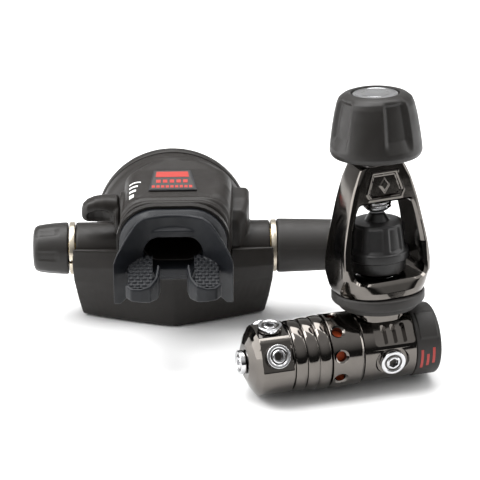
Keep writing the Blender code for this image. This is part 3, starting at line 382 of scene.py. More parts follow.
def port_flats(angle, along):
    """Cuts the turret's round down to a flat under each port."""
    cut = 0 * angle * along
    inside = np.clip((7.3 - np.abs(along - PORT_X)) / 0.3, 0, 1)
    for degrees in PORT_ANGLES.values():
        offset = (angle - up_from_front(degrees) + math.pi) % (2 * math.pi) - math.pi
        flat = LOW_SEAT / np.maximum(np.cos(offset), 0.5)
        cut = np.minimum(cut, np.minimum(flat - BODY_R, 0) * inside)
    return cut


turret_line = np.concatenate([
    eased([(4.3, -62.5), (4.3, -64.6), (8.0, -64.6), (12.8, -62.4), (16.3, -59.9), (16.3, -59.4)], 0.5),
    np.stack([np.full(60, 16.3), np.linspace(-59.3, -46.1, 60)], axis=1),
    eased([(16.3, -46.0), (16.3, -45.5), (12, -45.5)], 0.35),
])
turret = solid(turned(turret_line, ROUND_BODY, 256, port_flats))
piece("turret_casing", turret, black_chrome, "turret", "black_chrome", "turret", sharp=28)

RIBS_LEFT, RIB_PITCH, RIBS = -44.7, 5.6, 3
rib_x = np.linspace(-45.2, RIBS_LEFT + RIBS * RIB_PITCH, 120)
rib_phase = np.clip((rib_x - RIBS_LEFT) / RIB_PITCH, 0, RIBS) % 1
rib_rise = np.clip(np.sin(math.pi * rib_phase), 0, 1) ** 0.22
rib_r = np.interp(rib_x, [-45.2, -28], [14.9, 15.9]) + 1.35 * rib_rise
barrel_line = np.concatenate([
    [(7.0, -43.0), (7.0, -45.2), (15.0, -45.2)],
    np.stack([rib_r, rib_x], axis=1),
    eased([(15.9, -27.7), (17.1, -27.1), (17.1, -13.6), (16.3, -12.3), (13.5, -12.3), (13.5, -43.0), (7.2, -43.0)], 0.3),
])
barrel = solid(turned(barrel_line, ROUND_BODY, 192, wrap=True))
HOLE_LINE = [(2.4, 10.0), (2.4, 16.3), (3.2, 16.8), (4.4, 18.2)]
WATER_HOLES = 9


def outward(angle, x, matrix=FIRST):
    """The frame of a hole in the body that faces this many degrees up from the front."""
    turn = math.radians(degrees_from_up(angle))
    spin = np.eye(4)
    spin[1:3, 1:3] = [[math.cos(turn), -math.sin(turn)], [math.sin(turn), math.cos(turn)]]
    return matrix @ shifted(x, 0, 0) @ spin


def degrees_from_up(angle):
    """Turning about X takes up to the front at +90 degrees."""
    return 90 - angle


holes = [turned(HOLE_LINE, outward(9.5 + 360 * k / WATER_HOLES, -23.4), 32) for k in range(WATER_HOLES)]
shaped(barrel, "DIFFERENCE", holes)
piece("spring_barrel_casing", barrel, black_chrome, "first_stage", "black_chrome", "spring_barrel", sharp=30)

body_line = eased(
    [(4.5, -8.2), (4.5, -12.0), (16.3, -12.0), (16.3, 12.8), (13.3, 12.8), (13.3, 22.0), (9.7, 22.0), (9.7, -8.2)], 0.35
)
inlet_body = solid(turned(body_line, ROUND_BODY, 192, wrap=True))


def rounded_bar(width, depth, corner, levels, matrix, steps=6):
    """A bar with a rounded rectangle section, one (height, scale) pair for each level."""
    quarter = np.arange(4)[:, None]
    angle = math.pi / 2 * (quarter + np.linspace(0, 1, steps + 1)[None, :])
    middle_x = np.array([1, -1, -1, 1])[:, None] * (width / 2 - corner)
    middle_y = np.array([1, 1, -1, -1])[:, None] * (depth / 2 - corner)
    x = (middle_x + corner * np.cos(angle)).reshape(-1)
    y = (middle_y + corner * np.sin(angle)).reshape(-1)
    rings = [np.stack([x * scale, y * scale, np.full(len(x), height)], axis=-1) for height, scale in levels]
    return skin(placed(np.array(rings), matrix))


HIGH_ANGLE, HIGH_X = -11, 1.0
HIGH_DISH = [(5.0, 5.0), (5.0, 15.2), (7.2, 15.2), (7.6, 15.6), (9.0, 17.4)]
FIN_ANGLE, FIN_X, FIN_PITCH = 36.0, 3.0, 4.6
fin_recess = [rounded_bar(19.6, 11.0, 2.0, [(15.0, 1), (25, 1)], outward(FIN_ANGLE, FIN_X))]
fin_slots = [
    rounded_bar(2.4, 9.4, 1.1, [(12.4, 1), (25, 1)], outward(FIN_ANGLE, FIN_X + step * FIN_PITCH)) for step in (-1, 0, 1)
]
shaped(inlet_body, "DIFFERENCE", fin_recess + fin_slots)
shaped(inlet_body, "UNION", [rounded_bar(23.4, 17.6, 8, [(6.0, 1), (19.4, 1)], FIRST)])
shaped(
    inlet_body, "DIFFERENCE",
    [turned([(8.4, 8.0), (8.4, 30)], FIRST, 48)]
    + [turned(HIGH_DISH, outward(angle, HIGH_X), 48) for angle in (HIGH_ANGLE, 180 - HIGH_ANGLE)],
)
piece("inlet_body", inlet_body, black_chrome, "first_stage", "black_chrome", "main_body", sharp=30)

# ---- Port plugs ----
# Bright chromed brass plugs with a round flange and a hex socket. The threaded shank is hidden.
bright_chrome = Finish("bright_chrome_plate", (0.56, 0.56, 0.57), roughness=0.12, metallic=1.0)
wear = bright_chrome.noise(0.004, 4)
bright_chrome.feed("Roughness", bright_chrome.ramp(wear, 0.3, 0.8, 0.08, 0.16))
bright_chrome.bump(bright_chrome.noise(0.002, 2), 0.000002)


def plug_mesh(flange, shank, low, seat, matrix, socket=2.1, height=2.5):
    """A turned plug whose innermost rings follow a hexagon, which is the socket."""
    line = eased(
        [(shank, low), (shank, seat + 0.3), (flange, seat + 0.3), (flange, seat + 0.3 + height),
         (flange - 1.2, seat + 0.3 + height), (flange - 1.7, seat - 0.1 + height),
         (socket + 0.9, seat - 0.1 + height), (socket + 0.5, seat + 0.3 + height)], 0.45,
    )  # fmt: skip
    angle = np.linspace(0, 2 * math.pi, 72, endpoint=False)
    hexagon = math.cos(math.pi / 6) / np.cos((angle + math.pi / 6) % (math.pi / 3) - math.pi / 6)
    round_rings = line[:, :1] * np.ones((1, 72))
    top, floor_z = seat + 0.3 + height, seat + 0.9
    hex_levels = np.array([(socket + 0.15, top), (socket, top - 0.2), (socket, floor_z), (0.3, floor_z)])
    radius = np.concatenate([round_rings, hex_levels[:, :1] * hexagon[None, :]])
    level = np.concatenate([line[:, 1], hex_levels[:, 1]])[:, None] + 0 * radius
    points = np.stack([radius * np.cos(angle), radius * np.sin(angle), level], axis=-1)
    return skin(placed(points, matrix))


# Painted shade: this dark finish stands for the shade that falls in the plugs' grooves and on their socket floors.
socket_shade = Finish("socket_painted_shade", (0.035, 0.031, 0.027), roughness=0.35, metallic=0.6)
socket_shade.bump(socket_shade.noise(0.0005, 2), 0.000004)


def shaded_socket(name, flange, seat, matrix, body, slot, socket=2.1, height=2.5):
    """Painted shade: a dark insert in a plug's groove and at the bottom of its socket, standing for the shade in these
    hollows.
    """
    top = seat + 0.3 + height
    outer, inner = flange - 1.75, socket + 1.0
    groove = [(inner, top - 0.5), (outer, top - 0.5), (outer, top - 0.3), (inner, top - 0.3)]
    shade = solid(turned(groove, matrix, 64, wrap=True))
    shaped(shade, "UNION", [turned([(0.85 * socket, seat + 0.8), (0.85 * socket, seat + 1.0)], matrix, 32)])
    piece(name, shade, socket_shade, body, slot, sharp=60)


for place, degrees in PORT_ANGLES.items():
    plug = solid(plug_mesh(5.5, 3.8, 10.8, LOW_SEAT, outward(degrees, PORT_X)))
    shaded_socket(f"low_plug_{place}_socket", 5.5, LOW_SEAT, outward(degrees, PORT_X), "turret", "black_chrome")
    node_name = f"low_pressure_plug_{place}"
    piece(f"low_plug_{place}", plug, bright_chrome, "turret", "bright_chrome", node_name)
TO_NOSE = FIRST @ np.array([[0, 0, -1, 0], [0, 1, 0, 0], [1, 0, 0, 0], [0, 0, 0, 1.0]])
nose = solid(plug_mesh(5.5, 3.8, 60.6, 64.6, TO_NOSE))
piece("low_plug_nose", nose, bright_chrome, "turret", "bright_chrome", "low_pressure_plug_nose")
shaded_socket("low_plug_nose_socket", 5.5, 64.6, TO_NOSE, "turret", "black_chrome")
for side, degrees in (("front", HIGH_ANGLE), ("rear", 180 - HIGH_ANGLE)):
    plug = solid(plug_mesh(5.8, 4.6, 10.5, 15.2, outward(degrees, HIGH_X), socket=2.3))
    piece(f"high_plug_{side}", plug, bright_chrome, "first_stage", "bright_chrome", f"high_pressure_plug_{side}")
    shaded_socket(
        f"high_plug_{side}_socket", 5.8, 15.2, outward(degrees, HIGH_X), "first_stage", "black_chrome", socket=2.3
    )

# ---- End cover and collar ----
# Moulded rubber: a cup pulled over the body's end, with a raised panel and printed marks, and the
# stepped collar between the body and the yoke.
rubber = Finish("moulded_rubber", (0.022, 0.020, 0.0185), roughness=0.55, reflection=0.35)
grain = rubber.noise(0.00035, 2)
rubber.feed("Roughness", rubber.ramp(rubber.noise(0.008), 0.3, 0.7, 0.48, 0.62))
rubber.bump(grain, 0.00001, 0.6)
COVER = (13.1, 25.3)
PANEL_AT, PANEL_HALF = up_from_front(43), math.radians(24)


def cover_panel(angle, along):
    """A low panel on the cover's upper front, with soft edges."""
    offset = np.abs((angle - PANEL_AT + math.pi) % (2 * math.pi) - math.pi)
    across = np.clip((PANEL_HALF - offset) / math.radians(3), 0, 1)
    down = np.clip((along - 14.6) / 0.5, 0, 1) * np.clip((23.6 - along) / 0.5, 0, 1)
    return 0.55 * across * down


cover_line = np.concatenate([
    eased([(13.7, 22.7), (13.7, COVER[0]), (16.5, COVER[0]), (16.6, COVER[0] + 0.8)], 0.3),
    np.stack([np.full(40, 16.6), np.linspace(COVER[0] + 1, 23.8, 40)], axis=1),
    eased([(16.6, 24), (16.2, 24.9), (14.5, COVER[1]), (8, COVER[1])], 0.7),
])
cover = solid(turned(cover_line, ROUND_BODY, 192, cover_panel))
piece("end_cover_boot", cover, rubber, "first_stage", "rubber", "end_cover")


def body_patch(angle_low, angle_high, x_low, x_high, radius, thick=0.12):
    """A thin raised bar that follows the body's round."""
    angle = np.radians(np.linspace(angle_low, angle_high, 12))
    section = np.array([(radius, x_low), (radius + thick, x_low), (radius + thick, x_high), (radius, x_high)])
    y = -np.cos(angle)[:, None] * section[None, :, 0]
    z = np.sin(angle)[:, None] * section[None, :, 0]
    x = section[None, :, 1] + 0 * y
    return skin(placed(np.stack([x, y, z], axis=-1), FIRST))


red_print = Finish("red_print", (0.36, 0.030, 0.022), roughness=0.5)
red_print.bump(red_print.noise(0.0004, 2), 0.00001)
marks = solid(body_patch(-32, 2, 14.8, 16.0, 16.58))
shaped(marks, "UNION", [body_patch(-28, -6, 17.6, 18.8, 16.58), body_patch(-24, 4, 20.4, 21.6, 16.58)])
piece("cover_marks", marks, red_print, "first_stage", "orange_plastic", sharp=60)

collar_line = eased(
    [(8.4, 19.7), (18.0, 19.7), (18.2, 22.6), (21.0, 22.8), (21.4, 23.4), (21.4, 26.6), (20.9, 27.5), (8.4, 27.5)], 0.5
)
collar = solid(turned(collar_line, FIRST, 128, wrap=True))
piece("yoke_collar_ring", collar, rubber, "first_stage", "rubber", "yoke_collar")

# ---- Yoke ----
# A forged and polished frame, black chromed: a round foot, two legs that lean together, and a
# bridge with a shallow badge recess. Its window and edges have polished bevels.
YOKE_LEVELS = np.array([
    # height, half width, half depth, corner radius seen from above
    (27.8, 20.9, 18.9, 18.6), (31, 22.2, 18.6, 17.6), (34, 22.4, 17.2, 14), (37, 22.4, 15.4, 9), (42, 22.2, 12.8, 5),
    (50, 21.5, 10.6, 3), (60, 19.4, 9.6, 2.4), (70, 17.1, 9.2, 2.4), (80, 14.2, 8.8, 2.4), (88, 10.6, 8.4, 3),
])  # fmt: skip
WINDOW = [(0, 35.6), (15.6, 35.6), (17.8, 38), (17.4, 50), (15.6, 61), (13.8, 68.2), (12.4, 70.4), (0, 70.4)]
OUTER = [
    (0, 27.8), (20.9, 27.8), (22.3, 31), (22.4, 38), (21.6, 50), (19.5, 60), (17.2, 70), (14.3, 80), (10.6, 88), (0, 88)
]
YOKE_TURN = math.radians(7)
turn_back = np.eye(4)
turn_back[:2, :2] = [[math.cos(YOKE_TURN), -math.sin(YOKE_TURN)], [math.sin(YOKE_TURN), math.cos(YOKE_TURN)]]
YOKE = FIRST @ turn_back
YOKE_CENTRE = 50.0


def polar_reach(outline, radii, angle):
    """How far a half outline and its mirror image reach from the yoke's centre in each direction."""
    half = eased(outline, radii, 8)
    dense = np.linspace(0, 1, 24)[:, None, None]
    half = (half[None, :-1] * (1 - dense) + half[None, 1:] * dense).transpose(1, 0, 2).reshape(-1, 2)
    direction = np.arctan2(half[:, 1] - YOKE_CENTRE, half[:, 0])
    distance = np.hypot(half[:, 0], half[:, 1] - YOKE_CENTRE)
    folded = np.where(np.cos(angle) >= 0, angle, math.pi - angle)
    folded = (folded + math.pi / 2) % (2 * math.pi) - math.pi / 2
    order = np.argsort(direction)
    return np.interp(folded, direction[order], distance[order])


def yoke_half_depth(x, z):
    """Half the yoke's depth: a rounded rectangle seen from above, which is nearly round at the foot."""
    half_width, depth, corner = (np.interp(z, YOKE_LEVELS[:, 0], YOKE_LEVELS[:, k]) for k in (1, 2, 3))
    past = np.clip(np.abs(x) - (half_width - corner), 0, corner)
    return depth - corner + np.sqrt(np.maximum(corner**2 - past**2, 0))


def badge_recess(x, z):
    """Depth of the recess in the bridge's front: a trapezium in a low rim, with a plain lozenge left standing."""
    side = np.interp(z, [73.2, 75.4, 83.8], [7.2, 8.4, 5.6]) - np.abs(x)
    inside = np.minimum(np.minimum(side, z - 73.2), 83.8 - z)
    lozenge = 1 - np.abs(x) / 2.6 - np.abs(z - 78.4) / 3.6
    rim = np.clip(1 - np.abs(inside + 0.7) / 0.7, 0, 1)
    return 1.1 * np.clip(inside / 0.7, 0, 1) - 0.6 * np.clip(lozenge / 0.25, 0, 1) - 0.25 * rim


# Around the window, a row of points runs: bevel, front face, the curved side from crease to crease,
# the back face, its bevel, and the window's wall.
around = np.linspace(-math.pi, math.pi, 800, endpoint=False)[:, None]
inner_r = polar_reach(WINDOW, [0, 2.5, 3, 6, 6, 2, 1.2, 0], around)
outer_r = polar_reach(OUTER, [0, 1.2, 2, 5, 6, 6, 6, 5, 2.2, 0], around)
outer_z = YOKE_CENTRE + outer_r * np.sin(around)
window_z = YOKE_CENTRE + inner_r * np.sin(around)
bevel = np.interp(window_z, [35.6, 38, 66, 70], [1.1, 1.4, 1.3, 1.1])
side_reach = np.interp(outer_z, [27.8, 33, 80, 88], [0.7, 1.4, 1.2, 0.7])
CREASE = 0.34
turn = np.linspace(CREASE, math.pi - CREASE, 27)[None, :]
side_r = outer_r - side_reach + side_reach * ((np.sin(turn) - math.sin(CREASE)) / (1 - math.sin(CREASE))) ** 0.5
face_share = np.linspace(0, 1, 40)[None, :]
face_r = inner_r + bevel + (outer_r - side_reach - inner_r - bevel) * face_share


def yoke_row(reach, half_depth):
    return np.stack([reach * np.cos(around), half_depth, YOKE_CENTRE + reach * np.sin(around) + 0 * half_depth], axis=-1)


face_x, face_z = face_r * np.cos(around), YOKE_CENTRE + face_r * np.sin(around)
face_depth = yoke_half_depth(face_x, face_z)
crease_depth = face_depth[:, -1:]
wall_depth = face_depth[:, :1] - 0.9 * bevel
front = yoke_row(face_r, badge_recess(face_x, face_z) - face_depth)
side = yoke_row(side_r, -crease_depth * np.cos(turn) / math.cos(CREASE))[:, 1:-1]
back = yoke_row(face_r[:, ::-1], face_depth[:, ::-1])
wall = yoke_row(inner_r + 0 * face_share[:, :9], wall_depth * np.linspace(1, -1, 9)[None, :])
yoke = solid(skin(placed(np.concatenate([front, side, back, wall], axis=1), YOKE), wrap=True))
shaped(yoke, "DIFFERENCE", [
    turned([(8.4, 24), (8.4, 34)], FIRST, 96), turned([(11.4, 31.6), (11.4, 40)], FIRST, 96),
    turned([(7.0, 60), (7.0, 95)], FIRST, 96),
])
piece("yoke_frame", yoke, black_chrome, "first_stage", "black_chrome", "yoke", sharp=32)

# ---- Retainer, dust cap, screw, knob and badge ----
# The chromed retainer clamps the yoke. Above it the dust cap, in hard rubber, is held by the chromed
# screw, which the moulded knob with its pressed disc turns.
retainer_line = eased(
    [(3.6, 13), (8.0, 13), (8.0, 31.8), (11.0, 31.8), (11.0, 33.9), (8.8, 34.5), (8.8, 36.5), (7.6, 36.5), (7.6, 34.9),
     (5.4, 34.9), (5.4, 36.5), (4.4, 36.5), (4.4, 30), (3.6, 29.5)], 0.3,
)  # fmt: skip
retainer = solid(turned(retainer_line, FIRST, 96, wrap=True))
piece("yoke_retainer_nut", retainer, bright_chrome, "first_stage", "bright_chrome", "yoke_retainer")

hard_rubber = Finish("hard_rubber", (0.013, 0.0125, 0.0125), roughness=0.36, reflection=0.35)
hard_rubber.feed("Roughness", hard_rubber.ramp(hard_rubber.noise(0.005), 0.3, 0.7, 0.30, 0.44))
hard_rubber.bump(hard_rubber.noise(0.0005, 2), 0.000012)
CAP_FACETS = 8


def cap_facets(angle, along):
    """Eight panels between narrow ribs, deepest at mid height."""
    rise = np.clip((along - 47.3) / 1.2, 0, 1) * np.clip((59.2 - along) / 1.2, 0, 1)
    panel = np.clip((np.cos(CAP_FACETS * (angle - math.radians(22.5))) + 0.75) / 0.5, 0, 1)
    return -0.75 * rise * panel


cap_line = np.concatenate([
    eased([(7.8, 37.0), (12.6, 37.0), (13.0, 42.4), (14.2, 42.8), (14.2, 46.4), (13.5, 46.9), (13.3, 47.4)], 0.4),
    np.stack([np.linspace(13.25, 11.7, 34), np.linspace(47.6, 58.8, 34)], axis=1),
    eased([(11.6, 59.0), (11.2, 59.7), (5.6, 60.0), (3.5, 63.6), (2.0, 63.8)], 0.5),
])
cap = solid(turned(cap_line, FIRST, 160, cap_facets))
piece("dust_cap_moulding", cap, hard_rubber, "dust_cap", "soft_black", "dust_cap")

THREAD_PITCH, THREAD_DEPTH = 1.55, 0.75


def thread(angle, along):
    """A rounded thread: the groove climbs one pitch a turn."""
    phase = (along / THREAD_PITCH - angle / (2 * math.pi)) % 1
    groove = 0.5 - 0.5 * np.cos(2 * math.pi * phase)
    fade = np.clip((along - 66.2) / 0.8, 0, 1)
    return -THREAD_DEPTH * groove * fade


screw_line = np.concatenate([
    eased([(2.8, 64.9), (4.6, 64.9), (6.4, 66.4)], 0.5),
    np.stack([np.full(260, 6.6), np.linspace(66.6, 112.8, 260)], axis=1),
])
screw = solid(turned(screw_line, FIRST, 72, thread))
piece("yoke_screw_thread", screw, bright_chrome, "yoke_screw", "bright_chrome", "yoke_screw", sharp=50)

KNOB_SIDES = 4
knob_height = np.array([90.5, 91.2, 93.2, 95.5, 99, 104, 110, 115, 117.2, 118.7, 119.4])
knob_radius = np.array([18.2, 20.1, 20.9, 20.8, 20.35, 19.65, 18.6, 17.4, 16.4, 14.4, 12.2])


def knob_grips(angle, along):
    """Four shallow recesses with steep sides, between four ridges that widen towards the skirt."""
    half = math.cos(KNOB_SIDES * math.radians(21))
    recess = np.clip((np.cos(KNOB_SIDES * (angle - KNOB_TURN)) - half) / 0.42, 0, 1)
    rise = np.clip((along - 95.2) / 5.6, 0, 1) * np.clip((118.2 - along) / 2.4, 0, 1)
    return -2.1 * recess * rise


KNOB_TURN = math.radians(12.5)
knob_z = np.linspace(90.5, 119.4, 90)
knob_line = np.concatenate([
    [(7.2, 112.9), (7.2, 90.5), (17.0, 90.5)],
    np.stack([np.interp(knob_z, knob_height, knob_radius), knob_z], axis=1),
    eased([(12.0, 119.5), (11.2, 119.5), (10.8, 119.1), (10.8, 118.0), (2, 118.0)], 0.3),
])
soft_black = Finish("soft_black_moulding", (0.017, 0.0155, 0.0143), roughness=0.42, reflection=0.3)
soft_black.feed("Roughness", soft_black.ramp(soft_black.noise(0.006), 0.3, 0.7, 0.36, 0.50))
soft_black.bump(soft_black.noise(0.0003, 2), 0.000012)
knob = solid(turned(knob_line, FIRST, 256, knob_grips))
knob_smooth = knob.modifiers.new("soft", "SMOOTH")
knob_smooth.iterations = 3
knob_smooth.factor = 0.5
baked(knob)
piece("yoke_knob_moulding", knob, soft_black, "yoke_knob", "soft_black", "yoke_knob")

badge_line = eased([(10.3, 118.3), (10.3, 118.9), (9.4, 119.1), (8.8, 118.8), (6.4, 118.75), (6.0, 118.95), (0.5, 119.0)], 0.3)
badge = solid(turned(badge_line, FIRST, 96))
piece("knob_badge_disc", badge, bright_chrome, "yoke_knob", "bright_chrome", "knob_badge")

# ---- Second stage case ----
# One moulding in glass-filled nylon: a shallow drum, the barrel housing across it, and the neck that
# carries the mouthpiece. Its surface is finely grained, and its inside corners are filleted.
nylon = Finish("glass_filled_nylon", (0.013, 0.0108, 0.0092), roughness=0.45, reflection=0.3)
nylon_cloud = nylon.noise(0.012, 3)
nylon.feed("Base Color", nylon.blend(nylon_cloud, (0.0150, 0.0125, 0.0108), (0.0105, 0.0088, 0.0075)))
nylon.feed("Roughness", nylon.ramp(nylon.noise(0.004), 0.3, 0.7, 0.40, 0.52))
nylon.bump(nylon.noise(0.00028, 3), 0.000014)
CASE_UP = 4.4
ROUND_CASE = SECOND @ shifted(0, 0, CASE_UP) @ ALONG_Y
ROUND_BARREL = SECOND @ ALONG_X


def moulded(obj, voxel, smooth):
    """Rebuilds a solid in small even faces and eases it, which fillets its edges."""
    remesh = obj.modifiers.new("even", "REMESH")
    remesh.mode = "VOXEL"
    remesh.voxel_size = voxel * MM
    ease = obj.modifiers.new("ease", "SMOOTH")
    ease.factor = 0.5
    ease.iterations = smooth
    return baked(obj)


def rounded_loft(sections, matrix, steps=8):
    """Rounded rectangles seen along Y: y, left, right, low, high, corner radius."""
    rings = []
    for y, left, right, low, high, corner in sections:
        quarter = np.arange(4)[:, None]
        angle = math.pi / 2 * (quarter + np.linspace(0, 1, steps + 1)[None, :])
        x = np.array([right - corner, left + corner, left + corner, right - corner])[:, None] + corner * np.cos(angle)
        z = np.array([high - corner, high - corner, low + corner, low + corner])[:, None] + corner * np.sin(angle)
        rings.append(np.stack([x.reshape(-1), np.full(x.size, y), z.reshape(-1)], axis=-1))
    return skin(placed(np.array(rings), matrix))


CASE_OUTSIDE = [(4, -1.0), (22, 0.0), (30, 3.4), (35, 9.0), (36.4, 12.5), (36.8, 14.0), (36.8, 20.0)]
NECK = [
    (12, -21.5, 27.5, -13, 40.6, 18), (4, -23.0, 28.6, -13, 39.0, 9), (-10, -22.4, 28.0, -9, 37.6, 6.5),
    (-20, -23.6, 27.0, -3, 36.4, 8),
    (-28.7, -25.0, 25.6, 0, 35.2, 15),
]  # fmt: skip
SPIGOT = [(-26.7, -22.4, 22.4, 2.4, 32.8, 14.5), (-36, -22.4, 22.4, 2.4, 32.8, 14.5)]
AIRWAY = [(12, -13, 13, 14.5, 30.5, 7), (-41, -13.7, 13.7, 9.7, 25.7, 7.5)]
SHOULDER = [
    (10, 20, 37.3, -6, 27, 3), (0, 20, 37.0, -8, 25.5, 3), (-9, 20, 35.5, -8, 23, 4), (-13, 22, 32, -6, 19, 4),
]  # fmt: skip
NECK_TABLE = np.array(NECK[::-1])


def neck_band(middle, wide, rise):
    """A low band round the neck: the neck's own sections there, grown by its rise."""
    edge = [float(np.interp(middle, NECK_TABLE[:, 0], NECK_TABLE[:, k])) for k in range(1, 6)]
    left, right, low, high, corner = edge
    grown = (left - rise, right + rise, low - rise, high + rise, corner + rise)
    return [(middle + wide, *edge), (middle + wide / 2, *grown), (middle - wide / 2, *grown), (middle - wide, *edge)]


case = solid(turned(eased(CASE_OUTSIDE, 2.5), ROUND_CASE, 192))
shaped(case, "UNION", [
    turned(eased([(11.9, -47), (12.5, -46.4), (12.5, 46.4), (11.9, 47)], 0.3), ROUND_BARREL, 128),
    rounded_loft(NECK, SECOND), rounded_loft(SPIGOT, SECOND), rounded_loft(SHOULDER, SECOND),
    *(rounded_loft(neck_band(y, 0.9, 0.7), SECOND) for y in (-24.2, -27.4)),
    turned(eased([(11.0, -25.0), (11.6, -24.6), (11.6, -20)], 0.2), SECOND @ shifted(0, -8, 20.5) @ ALONG_X, 96),
])
shaped(case, "DIFFERENCE", [
    turned([(29.0, 5.5), (34.4, 12.4), (34.4, 26)], ROUND_CASE, 160),
    turned([(9.8, -60), (9.8, 60)], ROUND_BARREL, 64),
    rounded_loft(AIRWAY, SECOND),
    turned([(7.9, -10), (7.9, 10)], SECOND @ shifted(0, 0, -21.8) @ ALONG_Y, 48),
    turned([(10.0, -12), (10.0, -0.8)], SECOND @ shifted(0, 0, -21.8) @ ALONG_Y, 48),
    turned([(3.4, -40), (3.4, -10)], SECOND @ shifted(0, -8, 20.5) @ ALONG_X, 24),
])
moulded(case, 0.62, 5)
piece("case_moulding", case, nylon, "second_stage", "case_plastic", "case", sharp=60)

# ---- Front cover and purge button ----
# The cover is a domed ring of the same nylon with water slots, clamped to the case's rim. The soft
# purge button stands in its middle.
cover_ring_line = eased(
    [(21.0, 23), (33.4, 23), (33.4, 20.3), (36.8, 20.3), (37.4, 21.5), (37.2, 25), (34.8, 28), (30, 30.4), (22.6, 31),
     (21.0, 30)], 0.8,
)  # fmt: skip
cover_ring = solid(turned(cover_ring_line, ROUND_CASE, 192, wrap=True))
slots = []
for k in range(16):
    turn = math.pi * (k + 0.5) / 8
    spin = np.eye(4)
    spin[0, 0] = spin[1, 1] = math.cos(turn)
    spin[0, 1], spin[1, 0] = -math.sin(turn), math.sin(turn)
    slots.append(rounded_bar(2.2, 6.5, 1.05, [(21.0, 1), (36, 1)], ROUND_CASE @ spin @ shifted(0, 28.0, 0)))
shaped(cover_ring, "DIFFERENCE", slots)
piece("front_cover_ring", cover_ring, nylon, "second_stage", "case_plastic", "front_cover", sharp=30)

button_line = eased(
    [(5.9, 20.2), (5.9, 28), (20.3, 28), (20.6, 31.4), (19.4, 33.0), (17.2, 33.6), (16.4, 33.2), (12.2, 33.8), (5, 34.4),
     (1, 34.5)], 0.7,
)  # fmt: skip
button = solid(turned(button_line, ROUND_CASE, 160))
piece("purge_button_dome", button, soft_black, "purge_button", "soft_black", "purge_button")

# ---- Metal rings and effort knob ----
# Champagne-coloured trim rings finish the barrel's ends. The knob to the left turns the adjusting
# screw: a moulded taper with finger flutes.
champagne = Finish("champagne_ring", (0.60, 0.54, 0.44), roughness=0.32, metallic=1.0)
brushing = champagne.noise(0.0012, 2, 0.5, (0.15, 1, 1))
champagne.feed("Roughness", champagne.ramp(brushing, 0.3, 0.7, 0.29, 0.36))
champagne.bump(brushing, 0.000001)
for side, low, high in (("left", -49.9, -47.3), ("right", 47.3, 49.9)):
    ring_line = eased([(9.8, low), (12.7, low), (12.8, (low + high) / 2), (12.7, high), (9.8, high)], 0.3)
    ring = solid(turned(ring_line, ROUND_BARREL, 128, wrap=True))
    if side == "left":
        gap = rounded_bar(4.6, 1.8, 0.4, [(-16, 1), (-6, 1)], SECOND @ shifted(-48.6, 0, -1.6) @ ALONG_Y)
        shaped(ring, "DIFFERENCE", [gap])
    piece(f"{side}_trim_ring", ring, champagne, "second_stage", "satin_ring", f"{side}_ring")


def knob_flutes(angle, along):
    """Six very shallow flutes that fade out at both ends."""
    flute = np.clip(np.cos(6 * angle + 0.6) - 0.2, 0, 0.5)
    fade = np.clip((-54.5 - along) / 2.5, 0, 1) * np.clip((along + 66.4) / 2.5, 0, 1)
    return -0.9 * flute * fade


effort_line = np.concatenate([
    eased([(2, -67.5), (8.6, -67.5), (10.6, -66.5), (11.3, -64.9)], 0.9),
    np.stack([12.6 - 1.25 * np.linspace(1, 0, 50) ** 1.8, np.linspace(-64.7, -51.4, 50)], axis=1),
    eased([(12.6, -51.2), (12.3, -50.6), (3.4, -50.6), (3.4, -57.0), (1, -57.0)], 0.3),
])
effort = solid(turned(effort_line, ROUND_BARREL, 192, knob_flutes))
piece("effort_knob_grip", effort, soft_black, "effort_knob", "soft_black", "effort_knob")

# ---- Hose nut and sleeve ----
# The chromed swivel nut takes the hose, and a tapered rubber sleeve with a moulding line covers it.
nut_line = eased([(4, 50.1), (9.3, 50.1), (9.3, 71.5), (8.8, 72), (4, 72)], 0.4)
nut = solid(turned(nut_line, ROUND_BARREL, 72, wrap=True))
piece("hose_nut_body", nut, bright_chrome, "hose_end", "bright_chrome", "hose_nut")


def parting_line(angle, along):
    """A hair-thin moulding ridge along the sleeve, front and back."""
    offset = np.minimum(np.abs((angle - PARTING) % math.pi), math.pi - np.abs((angle - PARTING) % math.pi))
    return 0.12 * np.clip(1 - offset / 0.03, 0, 1)


PARTING = math.radians(165)
sleeve_line = eased(
    [(9.8, 50.2), (12.4, 50.2), (13.0, 50.8), (13.1, 52), (12.2, 83.2), (11.6, 84), (9.8, 84)], [0, 0.4, 0.6, 1, 0.6, 0.5, 0]
)
sleeve = solid(turned(sleeve_line, ROUND_BARREL, 256, parting_line, wrap=True))
piece("hose_sleeve_boot", sleeve, rubber, "hose_end", "rubber", "hose_sleeve")

# ---- Venturi lever and its scale ----
# A nylon hub on the neck's left with a hollow thumb paddle, turned against four printed bars.
HUB = -25.3
lever = solid(turned(eased([(2, -27.7), (8.4, -27.7), (9, -27.2), (9, -25.4), (3, -25.4), (3, -12)], 0.4),
                     SECOND @ shifted(0, -8, 20.5) @ ALONG_X, 96))  # fmt: skip


def paddle_mesh(sections, matrix):
    """Superellipse sections along X: x, y, z of the middle, half depth and half height."""
    angle = np.linspace(0, 2 * math.pi, 64, endpoint=False)
    c, s = np.cos(angle), np.sin(angle)
    rings = []
    for x, y, z, deep, tall in sections:
        rings.append(np.stack([
            np.full(64, x), y + deep * np.sign(c) * np.abs(c) ** 0.7, z + tall * np.sign(s) * np.abs(s) ** 0.7
        ], axis=-1))
    return skin(placed(np.array(rings), matrix))


